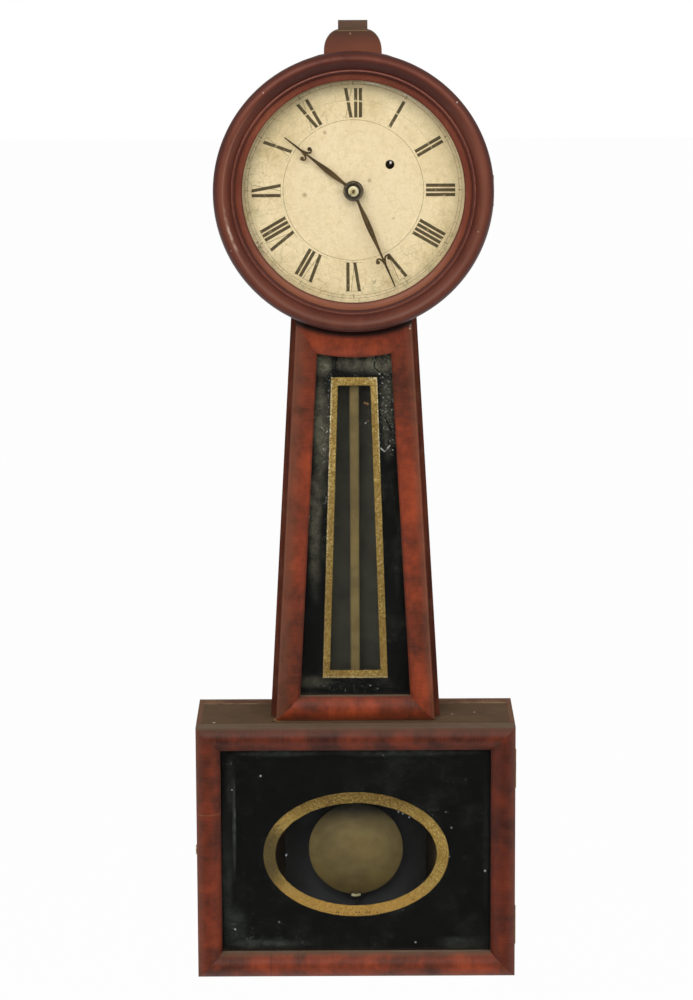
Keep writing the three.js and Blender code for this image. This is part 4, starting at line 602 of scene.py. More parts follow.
def blackPaint(name, look):
    # black paint on the back of the glass: haze, lifted wrinkles with painted glints, and specks
    paint = Finish(name)
    place = paint.place()
    x, y, z = paint.parts(place)
    cloud = paint.noise(place, 0.03, 4.0, 0.6)
    mist = paint.noise(place, 0.14, 4.0, 0.7)
    veils = paint.patches(x, z, look["haze"], (cloud - 0.5) * 1.4, 1.25, 0.35)
    haze = strongest([cloud.rise(0.5, 0.7) * 0.12, *veils])
    grain = paint.noise(place, 1.1, 3.0, 0.8)
    haze = haze * (mist.rise(0.34, 0.66) * 0.65 + 0.35) * (grain.rise(0.34, 0.62) * 0.7 + 0.5)
    colour = paint.blend(tint(8, 8, 7), look["mist"], haze)
    wrinkle = paint.cells(place + mist * 3.0, 0.5, "DISTANCE_TO_EDGE")
    ridge = wrinkle.rise(0.16, 0.03)
    crackle = strongest(paint.patches(x, z, look["crackle"], (mist - 0.5) * 1.6, 1.15, 0.7))
    # painted glints on the wrinkles in the crackled patches, standing in for light they catch
    flake = paint.noise(place, 1.3, 2.0, 0.8).rise(0.66, 0.72)
    lit = paint.noise(place + 31.0, 0.42, 3.0, 0.7)
    glint = crackle * (flake * lit.rise(0.42, 0.56)).most(ridge * lit.rise(0.56, 0.64))
    colour = paint.blend(colour, tint(196, 198, 190), glint * 0.85)
    specks = paint.spots(x, z, look["specks"])
    if "cracks" in look:
        colour = paint.blend(colour, tint(3, 3, 3), paint.strokes(x + (mist - 0.5) * 3.0, z, look["cracks"]))
    # pale strokes along lifted paint: painted glints
    if "liftedGlints" in look:
        liftedGlints = paint.strokes(x + (mist - 0.5) * 2.0, z, look["liftedGlints"])
        specks = specks.most(liftedGlints * mist.rise(0.36, 0.5) * 0.9)
    dusty = paint.noise(place, 0.9, 1.0).rise(0.755, 0.78) * cloud.rise(0.48, 0.6) * 0.5
    colour = paint.blend(colour, tint(205, 205, 196), (specks * 0.85).most(dusty))
    rough = 0.4 + haze * 0.4
    height = crackle * (wrinkle.rise(0.0, 0.5) * 0.8 + mist * 0.8)
    return paint.surface(colour, rough, {"Specular IOR Level": 0.15}, height, 0.35)


def giltFinish(name, look):
    # gold leaf on the back of glass, broken by brown specks and pinholes
    leaf = Finish(name)
    place = leaf.place()
    x, y, z = leaf.parts(place)
    cloud = leaf.noise(place, 0.07, 3.0, 0.6)
    speck = leaf.noise(place, 0.75, 4.0, 0.75)
    crease = leaf.cells(place + cloud * 8.0, 0.34, "DISTANCE_TO_EDGE").rise(0.07, 0.0)
    grit = leaf.noise(place, 2.4, 2.0, 0.7)
    stops = [
        (0.36, tint(96, 70, 22)), (0.47, tint(156, 124, 52)), (0.56, tint(196, 162, 84)),
        (0.66, tint(246, 222, 150)),
    ]
    colour = leaf.ramp(speck * 0.72 + grit * 0.72 - 0.22, stops)
    colour = leaf.blend(colour, tint(138, 106, 42), cloud.rise(0.42, 0.66) * 0.5)
    colour = leaf.blend(colour, tint(96, 70, 24), crease * 0.5)
    # painted glints along the leaf's edges
    if "glints" in look:
        lit = look["glints"](x, z) * leaf.noise(place + 17.0, 0.8, 2.0, 0.7).rise(0.5, 0.58)
        colour = leaf.blend(colour, tint(255, 250, 214), lit)
    worn = look["worn"](x, z)
    brown = worn * leaf.noise(place, 0.5, 4.0, 0.8).rise(0.36, 0.56)
    colour = leaf.blend(colour, tint(80, 56, 16), brown * 0.75)
    # painted shade on one side, and a painted highlight along the bottom
    if "shade" in look:
        colour = leaf.blend(colour, tint(60, 52, 30), look["shade"](x, z))
        colour = leaf.blend(colour, tint(212, 160, 78), look["lift"](x, z) * grit.rise(0.4, 0.6))
    holes = leaf.noise(place, 0.55, 3.0, 0.8).rise(0.655, 0.7) * 0.8
    colour = leaf.blend(colour, tint(30, 22, 10), holes)
    if "ticks" in look:
        colour = leaf.blend(colour, tint(46, 28, 12), leaf.spots(x, z, look["ticks"], 0.3) * 0.8)
    return leaf.surface(
        colour, 0.42 + (speck - 0.5) * 0.4, {"Specular IOR Level": 0.5}, speck + cloud, 0.12, 0.35,
    )


def dialPaint(name):
    # cream paint on iron, crazed and stained
    dial = Finish(name)
    place = dial.place()
    x, y, z = dial.parts(place)
    radius = dial.length(dial.point(x, 0.0, z))
    cloud = dial.noise(place, 0.025, 4.0, 0.55)
    fine = dial.noise(place, 0.6, 4.0, 0.7)
    colour = dial.blend(tint(241, 220, 178), tint(227, 204, 158), cloud.rise(0.36, 0.66))
    colour = dial.blend(colour, tint(234, 213, 176), radius.rise(76.0, 40.0) * 0.8)
    patchy = dial.noise(place, 0.22, 3.0, 0.7)
    colour = dial.blend(colour, tint(214, 192, 142), patchy.rise(0.46, 0.66) * 0.4)
    colour = dial.blend(colour, tint(210, 188, 136), fine.rise(0.48, 0.7) * 0.5)
    # painted shade under the bezel: darker towards the rim, most at the top
    rim = radius.rise(70.0, 92.0) * (z.rise(-70.0, 70.0) * 0.55 + 0.35)
    colour = dial.blend(colour, tint(208, 193, 148), rim * 0.4)
    green = dial.noise(place, 0.09, 4.0, 0.7).rise(0.5, 0.66) * radius.rise(58.0, 86.0)
    slant = x * 0.7 + z * 0.7
    colour = dial.blend(colour, tint(176, 170, 128), green * slant.rise(60.0, 8.0) * 0.45)
    blotch = dial.noise(place, 0.05, 4.0, 0.7).rise(0.55, 0.72) * radius.rise(30.0, 78.0)
    colour = dial.blend(colour, tint(186, 160, 108), blotch * 0.45)
    swirl = dial.node("ShaderNodeTexNoise", None, {"Vector": place, "Scale": 0.09, "Detail": 2.0}, 1)
    bent = place + swirl * 7.0
    cracks = dial.cells(bent, 0.13, "DISTANCE_TO_EDGE").rise(0.022, 0.004)
    hair = dial.cells(bent, 0.34, "DISTANCE_TO_EDGE").rise(0.03, 0.0)
    clean = slant.rise(8.0, 60.0)  # the upper right is hardly crazed or stained
    craze = (cracks * 0.5).most(hair * 0.3) * (radius.rise(42.0, 74.0) * 0.75 + 0.2) * (1.0 - clean * 0.65)
    colour = dial.blend(colour, tint(128, 104, 64), craze * 0.95)
    wobble = radius + (dial.noise(place, 0.06, 2.0) - 0.5) * 4.0
    oldRing = wobble.near(69.0, 0.28, 0.9) * z.rise(20.0, 50.0)
    colour = dial.blend(colour, tint(238, 226, 190), oldRing * fine.rise(0.42, 0.6) * 0.35)
    oldLine = wobble.near(69.9, 0.22, 0.9) * (z.rise(20.0, 50.0) * 0.5 + 0.1)
    colour = dial.blend(colour, tint(150, 128, 90), oldLine * 0.45)
    stains = dial.spots(
        x, z,
        [(-38.0, -3.5, 1.5), (-22.0, 45.0, 1.3), (12.5, 7.5, 1.3), (27.5, -63.0, 1.0), (31.0, -22.0, 0.8)],
        0.9,
    )
    colour = dial.blend(colour, tint(136, 102, 58), stains * 0.6)
    chips = dial.spots(x, z, [(-73.6, -44.6, 1.7), (-71.6, -48.4, 1.5), (-75.0, -41.0, 1.0)], 0.9)
    colour = dial.blend(colour, tint(58, 46, 34), chips * fine.rise(0.36, 0.56) * 0.9)
    height = cloud * 0.4 - cracks * 0.4 - hair * 0.2 + fine * 0.1
    return dial.surface(colour, 0.5 + (fine - 0.5) * 0.3, {"Specular IOR Level": 0.4}, height, 0.12)


def dialInk(name, colourMain, crossed):
    # the dial's dark paint, worn thin in places and broken where the old ring runs through it
    ink = Finish(name)
    place = ink.place()
    x, y, z = ink.parts(place)
    radius = ink.length(ink.point(x, 0.0, z))
    worn = ink.noise(place, 0.35, 4.0, 0.75)
    pale = tint(214, 194, 148)
    colour = ink.blend(colourMain, tint(104, 84, 52), worn.rise(0.5, 0.7) * 0.7)
    if crossed:
        wobble = radius + (ink.noise(place, 0.06, 2.0) - 0.5) * 4.0
        gap = wobble.near(69.0, 0.5, 0.6) * z.rise(20.0, 50.0)
        bits = worn.rise(0.62, 0.68)
        colour = ink.blend(colour, pale, gap.most(bits * 0.8) * 0.9)
    else:
        colour = ink.blend(colour, pale, worn.rise(0.46, 0.62) * 0.6)
    return ink.surface(colour, 0.55, {"Specular IOR Level": 0.35}, worn, 0.03)


def cordFinish(name):
    cord = Finish(name)
    place = cord.place()
    fray = cord.noise(place, 1.6, 3.0, 0.7)
    soil = cord.noise(place, 0.05, 3.0)
    stops = [(0.3, tint(84, 68, 44)), (0.5, tint(140, 120, 84)), (0.7, tint(176, 156, 116))]
    colour = cord.ramp(fray * 0.7 + soil * 0.3, stops)
    return cord.surface(colour, 0.9, {"Specular IOR Level": 0.2}, fray, 0.25)


print("shader maths ready")


# mesh making
def makeMesh(name, points, faces, merge):
    # points in millimetres; those closer than merge become one
    mesh = bpy.data.meshes.new(name)
    mesh.from_pydata([(x * mm, y * mm, z * mm) for x, y, z in points], [], faces)
    shape = bmesh.new()
    shape.from_mesh(mesh)
    bmesh.ops.remove_doubles(shape, verts=shape.verts, dist=merge * mm)
    bmesh.ops.recalc_face_normals(shape, faces=shape.faces)
    shape.to_mesh(mesh)
    shape.free()
    return mesh


def finalMesh(thing):
    bpy.context.view_layer.update()
    return bpy.data.meshes.new_from_object(thing.evaluated_get(bpy.context.evaluated_depsgraph_get()))


def shadeRound(mesh, degrees):
    # edges that turn by less than this are shaded round
    mesh.shade_smooth()
    mesh.set_sharp_from_angle(angle=math.radians(degrees))


class Shape:  # points and faces gathered before they become one piece
    def __init__(self):
        self.points = []
        self.faces = []

    def add(self, points, faces):
        start = len(self.points)
        self.points += points
        self.faces += [tuple(start + i for i in face) for face in faces]

    def skin(self, rows, closed=True, ring=False):
        # faces between rows of points; a ring's last row meets its first, and a run has an end cap on each
        count, last = len(rows[0]), len(rows) - 1
        faces = []
        if not ring:
            faces = [tuple(range(count)), tuple(range((last + 1) * count - 1, last * count - 1, -1))]
        for i in range(last + 1 if ring else last):
            here, there = i * count, (i + 1) % len(rows) * count
            for k in range(count if closed else count - 1):
                beside = (k + 1) % count
                faces.append((here + k, here + beside, there + beside, there + k))
        self.add([point for row in rows for point in row], faces)

    def lathe(self, profile, steps, centre=(0.0, 0.0), closed=True, axis="y"):
        # profile of (radius, level); closed joins its last point to its first
        order = {"x": (2, 0, 1), "y": (0, 2, 1)}[axis]
        first, second = centre
        rows = []
        for step in range(steps):
            sine, cosine = math.sin(2 * math.pi * step / steps), math.cos(2 * math.pi * step / steps)
            row = [(first + radius * sine, second + radius * cosine, level) for radius, level in profile]
            rows.append([tuple(point[k] for k in order) for point in row])
        self.skin(rows, closed, ring=True)

    def prism(self, outline, back, front):
        # outline of (x, z), convex or nearly so
        self.skin([[(x, y, z) for x, z in outline] for y in (back, front)])

    def ribbon(self, path, halves, back, front, crown=0.0):
        # a flat strip that follows a path of (x, z), with a half width at each point and a raised middle
        rows = []
        for i, (x, z) in enumerate(path):
            acrossX, acrossZ = (part * halves[i] for part in across(path, i))
            rows.append([
                (x - acrossX, back, z - acrossZ), (x - acrossX, front, z - acrossZ), (x, front - crown, z),
                (x + acrossX, front, z + acrossZ), (x + acrossX, back, z + acrossZ),
            ])
        self.skin(rows)

    def moulding(self, stations, section):
        # a section of (share, y) run from station to station; each has an outer and an inner (x, z)
        rows = []
        for (outerX, outerZ), (innerX, innerZ) in stations:
            wide, tall = innerX - outerX, innerZ - outerZ
            rows.append([(outerX + wide * share, y, outerZ + tall * share) for share, y in section])
        self.skin(rows)

    def turn(self, degrees):
        # clockwise about the hands' centre, as seen from the front
        cosine, sine = math.cos(math.radians(degrees)), math.sin(math.radians(degrees))
        self.points = [(x * cosine + z * sine, y, z * cosine - x * sine) for x, y, z in self.points]

    def piece(self, name, material, body, slotName, stands=(), smooth=None, merge=0.002):
        mesh = makeMesh(name, self.points, self.faces, merge)
        mesh.materials.append(material)
        if smooth is not None:
            shadeRound(mesh, smooth)
        made = addObject(name, mesh)
        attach(made, body)
        if stands:
            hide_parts(*stands)
        return made


def across(path, i):
    # the unit vector across a path of (x, z) at one of its points
    (fromX, fromZ), (toX, toZ) = path[max(i - 1, 0)], path[min(i + 1, len(path) - 1)]
    run = math.hypot(toX - fromX, toZ - fromZ)
    return (toZ - fromZ) / run, -(toX - fromX) / run


def carve(piece, cutters, smooth=32):
    # takes closed shapes out of a piece
    for cutter in cutters:
        tool = addObject("cutter", makeMesh("cutter", cutter.points, cutter.faces, 0.001))
        modifier = piece.modifiers.new("carve", "BOOLEAN")
        modifier.operation = "DIFFERENCE"
        modifier.solver = "EXACT"
        modifier.object = tool
        result = finalMesh(piece)
        piece.modifiers.clear()
        piece.data = result
        bpy.data.objects.remove(tool)
    shadeRound(piece.data, smooth)


past = 4.0  # how far a cutting box reaches beyond the wood


def boxShape(left, right, back, front, bottom, top):
    shape = Shape()
    shape.prism([(left, bottom), (right, bottom), (right, top), (left, top)], back, front)
    return shape


def arc(centre, wide, deep, start, end, steps):
    # part of an oval in a profile, from one angle to another
    angles = [math.radians(start + (end - start) * i / steps) for i in range(steps + 1)]
    return [(centre[0] + wide * math.cos(angle), centre[1] - deep * math.sin(angle)) for angle in angles]


def between(a, b, c, d, t):
    # on the even curve from b to c, a share t of the way
    square, cube = 2 * a - 5 * b + 4 * c - d, 3 * b - a - 3 * c + d
    return 0.5 * (2 * b + (c - a) * t + square * t * t + cube * t ** 3)


def smoothPath(points, steps):
    # an even curve through points
    path = []
    for i in range(len(points) - 1):
        p0, p1 = points[max(i - 1, 0)], points[i]
        p2, p3 = points[i + 1], points[min(i + 2, len(points) - 1)]
        for k in range(steps):
            path.append(tuple(between(*four, k / steps) for four in zip(p0, p1, p2, p3)))
    return path + [points[-1]]


def cushion(back, front, glassFront, rebateShare, edgeShare, innerShare, steps=26):
    # the crowned section of a frame, with the rebate behind its inner edge
    high = back - front
    start, end = high * edgeShare, high * innerShare
    section = [(0.0, back), (0.0, back - start)]
    for i in range(1, steps):
        t = i / steps
        crown = (high - (start + end) / 2) * 4 * t * (1 - t)
        section.append((t, back - min(high, start + (end - start) * t + crown)))
    return section + [
        (1.0, back - end), (1.0, glassFront), (1 - rebateShare, glassFront), (1 - rebateShare, back),
    ]


# case
def dress(material, *names):
    for name in names:
        for materialSlot in nodes[name].material_slots:
            materialSlot.material = material


dress(plainWood("caseMahogany", caseWood), "throat_side_left", "throat_side_right")
dress(plainWood("plinthMahogany", plinthWood), "plinth")
dress(plainWood("boxSideMahogany", sideWood), "box_side_left", "box_side_right")
dress(plainWood("backMahogany", backWood), "backboard", "box_bottom")
blockWood = dict(
    backWood, grain="x", dark=tint(66, 48, 36), middle=tint(96, 72, 55), light=tint(116, 90, 70), figure=0.4,
)
dress(plainWood("blockMahogany", blockWood), "plinth_block")
dress(plainWood("boxTopPine", topWood), "box_top")
# the head's ring, its way through to the throat and the bed of the bezel's hinge leaf
head = {
    "radius": 104.0, "bore": 95.4, "wall": 90.0, "back": -16.1, "seat": -65.0, "front": -74.5, "bed": -73.2,
    "leafHalf": 12.3, "leafLeft": 97.6, "wayHalf": 41.0, "wayBack": -16.0, "wayFront": -62.0, "wayTop": -62.0,
}
ring = Shape()
ring.lathe([
    (head["wall"], head["back"]), (head["radius"] - 0.3, head["back"]),
    (head["radius"], head["back"] - 0.3), (head["radius"], head["front"] + 0.3),
    (head["radius"] - 0.3, head["front"]), (head["bore"], head["front"]), (head["bore"], head["seat"]),
    (head["wall"], head["seat"]),
], 144)
headMaterial = turnedWood("headMahogany", dict(turned, members=False))
headPiece = ring.piece("headRing", headMaterial, "case", "mahogany", ["head_ring"], 30)
outside, leafHalf = head["radius"] + past, head["leafHalf"]
carve(headPiece, [
    boxShape(-head["wayHalf"], head["wayHalf"], head["wayBack"], head["wayFront"], -outside, head["wayTop"]),
    boxShape(head["leafLeft"], outside, head["bed"], head["front"] - past, -leafHalf, leafHalf),
])
print("case finished")

# bezel and its glass
bezel = {
    "back": -75.0, "radius": 109.0, "backSetback": 1.5, "crestRadius": 103.2, "crest": 17.6, "spring": 9.2,
    "slopeEnd": 95.5, "slopeFoot": 11.5, "slopeSteps": 16, "beadRadius": 93.7, "beadHalf": 1.25,
    "beadHigh": 0.8, "beadFoot": 11.2, "coveOuter": 91.6, "coveHigh": 11.4, "sight": 86.4, "sightHigh": 6.8,
    "lip": 5.0, "rebate": 91.0, "steps": 192, "bed": -76.3,
}


def bezelProfile(look):
    # half round, slope, bead and cove, from the outer edge of the back to the glass's rebate
    back, outer, crest = look["back"], look["radius"] - look["backSetback"], look["crestRadius"]
    foot, cove, sight = back - look["beadFoot"], look["coveOuter"], look["sight"]
    spring, lip = back - look["spring"], back - look["lip"]
    slope = []  # from the crest down to the bead, falling as a cosine does
    for i in range(1, look["slopeSteps"] + 1):
        fall = (look["crest"] - look["slopeFoot"]) * math.cos(math.pi / 2 * i / look["slopeSteps"])
        radius = crest - (crest - look["slopeEnd"]) * i / look["slopeSteps"]
        slope.append((radius, back - look["slopeFoot"] - fall))
    return [
        (outer, back), (outer, back - look["spring"] / 2),
        *arc((crest, spring), look["radius"] - crest, look["crest"] - look["spring"], 0, 90, 14), *slope,
        (look["beadRadius"] + look["beadHalf"] + 0.1, foot),
        *arc((look["beadRadius"], foot), look["beadHalf"], look["beadHigh"], 0, 180, 10), (cove, foot + 0.2),
        *arc((sight, back - look["coveHigh"]), cove - sight, look["coveHigh"] - look["sightHigh"], 0, -90, 9),
        (sight, lip), (look["rebate"], lip), (look["rebate"], back),
    ]


ring = Shape()
ring.lathe(bezelProfile(bezel), bezel["steps"])
bezelMaterial = turnedWood("bezelMahogany", turned)
bezelPiece = ring.piece("bezelRing", bezelMaterial, "bezel", "mahogany_turned", ["bezel"], 32)
outside, behind = bezel["radius"] + past, bezel["back"] + past
carve(bezelPiece, [boxShape(head["leafLeft"], outside, behind, bezel["bed"], -leafHalf, leafHalf)])

pane = {"radius": 90.5, "thick": 1.8, "rise": 6.5, "edge": -79.9, "rings": 22, "steps": 128, "gap": 0.1}
paneSight = bezel["sight"] - pane["gap"]
dome = []
for i in range(pane["rings"]):
    share = i / pane["rings"]
    radius = pane["radius"] * share * (paneSight / pane["radius"])
    dome.append((radius, pane["edge"] - pane["rise"] * (1 - share * share)))
outside = dome + [(paneSight, pane["edge"]), (pane["radius"], pane["edge"])]
inside = [(radius, y + pane["thick"]) for radius, y in outside]
glassShape = Shape()
glassShape.lathe(outside + inside[::-1], pane["steps"], closed=False)


def paneEdge(glass, x, z, smear):
    # a painted highlight: light caught by the upper right of the pane's edge
    radius = glass.length(glass.point(x, 0.0, z))
    sweep = (x * 0.36 + z * 0.93).rise(71.0, 80.0)  # strongest about 21 degrees right of the top
    return radius.near(85.2, 0.26, 0.9) * sweep * x.rise(6.0, 12.0) * (smear.rise(0.44, 0.58) * 0.5 + 0.05)


paneLook = {"wave": 0.05, "smear": 0.06, "marks": [(tint(244, 238, 214), paneEdge)]}
glassShape.piece("bezelPane", clearGlass("bezelGlass", paneLook), "bezel", "glass", ["bezel_glass"], 40)
print("bezel finished")

# dial
dial = {
    "front": -66.3, "back": -65.1, "radius": 95.0, "centreHole": 4.8, "windingHole": 3.6,
    "windingAt": (28.5, 19.9), "chapter": 54.8, "line": 0.16, "inner": 56.6, "outer": 79.2, "stroke": 1.28,
    "pitch": 3.65, "hair": 0.2, "serif": 0.7, "trackInner": 82.4, "trackOuter": 84.7, "trackLine": 0.13,
    "serifHalf": 0.1, "steps": 180, "plateSteps": 160, "holeSteps": 48,
    # how far each kind of paint stands out, and how far it goes under the plate's face
    "ink": 0.06, "hairInk": 0.03, "serifInk": 0.02, "ringInk": 0.025, "under": 0.01,
    # the track's marks: half width, how far they reach inwards, and how far they stand out
    "minute": (0.12, 0.0, 0.03), "fifth": (0.3, 0.9, 0.035),
}


def dialPlate(look):
    # a thin round plate with two round holes
    curve = bpy.data.curves.new("dialPlate", "CURVE")
    curve.dimensions = "2D"
    curve.fill_mode = "BOTH"
    curve.extrude = (look["back"] - look["front"]) * mm / 2
    centre = (0.0, 0.0)
    rings = [
        (centre, look["radius"], look["plateSteps"]), (centre, look["centreHole"], look["holeSteps"]),
        (look["windingAt"], look["windingHole"], look["holeSteps"]),
    ]
    for (middleX, middleZ), radius, steps in rings:
        spline = curve.splines.new("POLY")
        spline.points.add(steps - 1)
        for k in range(steps):
            angle = 2 * math.pi * k / steps
            x, z = middleX + radius * math.cos(angle), middleZ + radius * math.sin(angle)
            spline.points[k].co = (x * mm, z * mm, 0.0, 1.0)
        spline.use_cyclic_u = True
    holder = addObject("dialCurve", curve)
    mesh = finalMesh(holder)
    bpy.data.objects.remove(holder)
    middle = (look["back"] + look["front"]) / 2
    plate = Shape()
    plate.add(
        [(point.co.x / mm, middle + point.co.z / mm, point.co.y / mm) for point in mesh.vertices],
        [tuple(face.vertices) for face in mesh.polygons],
    )
    return plate


dialPlate(dial).piece("dialPlate", dialPaint("dialCream"), "case", "dial_paint", ["dial"])

letters = {
    # thick and thin strokes of a numeral as (bottom x, top x), and how far the next one starts
    "I": {"thick": [(0.0, 0.0)], "thin": [], "wide": 1.0},
    "V": {"thick": [(1.0, 0.0)], "thin": [(1.05, 1.75)], "wide": 2.45},
    "X": {"thick": [(1.15, 0.0)], "thin": [(0.0, 1.3)], "wide": 2.15},
}
numerals = ["XII", "I", "II", "III", "IIII", "V", "VI", "VII", "VIII", "IX", "X", "XI"]


def drawStroke(target, ends, half, levels, direction, raised):
    # a slanted bar of paint in a numeral's own frame, stood on the dial at its hour
    (bottomX, topX), (low, high) = ends, levels
    cosine, sine = math.cos(direction), math.sin(direction)
    corners = [(bottomX - half, low), (bottomX + half, low), (topX + half, high), (topX - half, high)]
    outline = [(aside * cosine + up * sine, up * cosine - aside * sine) for aside, up in corners]
    target.prism(outline, dial["front"] + dial["under"], dial["front"] - raised)


ink = Shape()
fineInk = Shape()
pitch, levels = dial["pitch"], (dial["inner"], dial["outer"])
kinds = (("thick", ink, dial["stroke"], dial["ink"]), ("thin", fineInk, dial["hair"], dial["hairInk"]))
for hour, word in enumerate(numerals):
    direction = math.radians(30 * hour)
    widths = [letters[letter]["wide"] for letter in word]
    total = sum(widths[:-1]) + max([0.0] + [end for pair in letters[word[-1]]["thick"] for end in pair])
    start = -total / 2 * pitch
    for letter, wide in zip(word, widths):
        for kind, target, half, raised in kinds:
            for bottomX, topX in letters[letter][kind]:
                ends = (start + bottomX * pitch, start + topX * pitch)
                drawStroke(target, ends, half, levels, direction, raised)
        start += wide * pitch
    reach = total / 2 * pitch + dial["stroke"] + dial["serif"]
    for level in levels:
        serif = (level - dial["serifHalf"], level + dial["serifHalf"])
        drawStroke(fineInk, (0.0, 0.0), reach, serif, direction, dial["serifInk"])
back, front = dial["front"] + dial["under"], dial["front"] - dial["ringInk"]
halves = {"chapter": dial["line"], "trackInner": dial["trackLine"], "trackOuter": dial["trackLine"]}
for kind, half in halves.items():
    radius = dial[kind]
    square = [(radius - half, back), (radius + half, back), (radius + half, front), (radius - half, front)]
    fineInk.lathe(square, dial["steps"])
for minute in range(60):
    half, inward, raised = dial["minute"] if minute % 5 else dial["fifth"]
    reach = (dial["trackInner"] - inward, dial["trackOuter"])
    drawStroke(fineInk, (0.0, 0.0), half, reach, math.radians(6 * minute), raised)
ink.piece("dialNumerals", dialInk("numeralInk", tint(80, 66, 36), True), "case", "dial_paint", merge=0.0001)
fineInk.piece("dialLines", dialInk("lineInk", tint(112, 92, 56), False), "case", "dial_paint", merge=0.0001)
print("dial finished")

# hands
hands = {
    "thick": 0.7, "boss": 7.8, "drawnBarb": 56.4,
    # half widths along the blade, for a hand whose barbs stand at drawnBarb: (distance, half width)
    "blade": [(11.5, 1.15), (17.0, 1.6), (23.5, 2.05), (30.0, 2.1), (37.0, 1.7), (44.0, 1.15)],
    "minute": {"long": 81.8, "barb": 60.0, "back": -73.9, "turn": 156.6, "hole": 3.0},
    "hour": {"long": 67.6, "barb": 48.2, "back": -69.9, "turn": 308.0, "hole": 4.3},
}
bluedMaterial = metalFinish("bluedSteel", bluedFinish)


def makeHand(name, look, body, stands):
    # a tapered blade with a scroll on each side, and a pierced round boss
    hand = Shape()
    back, front = look["back"], look["back"] - hands["thick"]
    boss, hole, barb, long = hands["boss"], look["hole"], look["barb"], look["long"]
    hand.lathe([
        (hole, back), (boss - 0.25, back), (boss, back - 0.25), (boss, front + 0.25), (boss - 0.3, front),
        (boss - 1.5, front + 0.02), (boss - 2.4, front + 0.16), (hole + 1.0, front + 0.16),
        (hole, front + 0.1),
    ], 72)
    crotch = barb + 1.2
    blade = smoothPath([
        (boss - 0.6, 1.5), (boss + 1.0, 1.15),
        *((far * barb / hands["drawnBarb"], half) for far, half in hands["blade"]), (barb - 4.0, 0.75),
        (barb - 1.0, 0.9), (crotch, 1.05), (crotch + 2.0, 0.85), (long - 6.0, 0.62), (long, 0.4),
    ], 4)
    hand.ribbon(
        [(0.0, far) for far, half in blade], [half for far, half in blade], back - 0.03, front + 0.2, 0.18,
    )
    for side in (-1, 1):
        scroll = smoothPath([
            (side * 0.2, crotch + 0.4), (side * 0.95, crotch - 2.0), (side * 2.0, crotch - 4.0),
            (side * 3.5, crotch - 4.9), (side * 5.0, crotch - 4.3), (side * 5.4, crotch - 3.0),
        ], 6)
        halves = [0.85 - 0.25 * min(1.0, i / (len(scroll) * 0.8)) for i in range(len(scroll))]
        hand.ribbon(scroll, halves, back - 0.05, front + 0.12, 0.08)
        hand.lathe([
            (0.0, back - 0.06), (1.45, back - 0.06), (1.6, back - 0.25), (1.5, front + 0.2),
            (0.9, front + 0.02), (0.0, front),
        ], 22, (side * 4.7, crotch - 2.6), closed=False)
    hand.turn(look["turn"])
    hand.piece(name, bluedMaterial, body, "blued_steel", stands, 35, 0.0005)


makeHand("minuteHand", hands["minute"], "minute", ["minute_hand"])
makeHand("hourHand", hands["hour"], "hour", ["hour_hand"])

collet = {
    "back": -74.7, "radius": 4.1, "hole": 1.1, "high": 1.3, "pinTurn": 30.0, "pinLong": 1.7, "pinHalf": 0.7,
    "pinThick": 0.28,
}
brassMaterial = metalFinish("brass", brassFinish)


def noseDirt(metal, colour, x, y, z):
    # old oil round the arbor's nose
    nose = metal.spots(x, z, [(0.0, 0.0, 1.9)], 0.8)
    colour = metal.blend(colour, tint(150, 124, 62), nose * 0.7)
    return metal.blend(colour, tint(70, 56, 34), metal.spots(x, z, [(-2.3, -2.5, 0.7)]))


colletFinish = dict(
    brassFinish, clean=tint(232, 222, 184), stained=tint(206, 192, 146), spotted=tint(150, 130, 84),
    rough=0.5, metal=0.2, extra=noseDirt,
)
washer = Shape()
back, radius, front = collet["back"], collet["radius"], collet["back"] - collet["high"]
washer.lathe([
    (collet["hole"], back), (radius - 0.2, back), (radius, back - 0.25), (radius - 0.1, back - 0.7),
    (radius - 0.7, back - 1.1), (radius - 2.1, front), (collet["hole"], front),
], 56)
washer.piece("handCollet", metalFinish("colletBrass", colletFinish), "minute", "brass", ["hand_collet"], 30)
pin = Shape()  # a tapered pin through the arbor's nose, in front of the collet
long = collet["pinLong"]
pinWay = smoothPath([(0.0, -long), (0.05, -1.0), (0.0, 1.0), (0.12, long)], 5)
halves = [collet["pinHalf"] * (1.0 - 0.35 * i / len(pinWay)) for i in range(len(pinWay))]
pin.ribbon(pinWay, halves, front - 0.02, front - 0.02 - collet["pinThick"], 0.1)
pin.turn(collet["pinTurn"])
pinFinish = dict(brassFinish, clean=tint(150, 122, 66), stained=tint(104, 82, 42))
pin.piece("handPin", metalFinish("pinBrass", pinFinish), "minute", "brass", (), 40)
print("hands finished")

# throat frame
throat = {
    "frameBack": -57.1, "frameFront": -74.7, "glassFront": -64.1, "mitreDrop": 103.2, "boxTop": -424.5,
    "openTop": 29.0, "openBottom": 44.0, "openBottomDrop": 405.1, "archOuter": 104.3, "archInner": 131.2,
    "archSteps": 36, "glue": 0.1,
    # the case's half width at halfDrop, how fast it widens below, and how far the frame stands in from it
    "half": 49.7, "halfDrop": 105.3, "spread": 18.2 / 319.2, "reveal": 4.3,
}


def frameHalf(z):
    return throat["half"] + throat["spread"] * (-z - throat["halfDrop"]) - throat["reveal"]


def leftMitre(outer, inner):
    # the outer and inner end of a right mitre, mirrored to the left
    return tuple((-x, z) for x, z in (outer, inner))


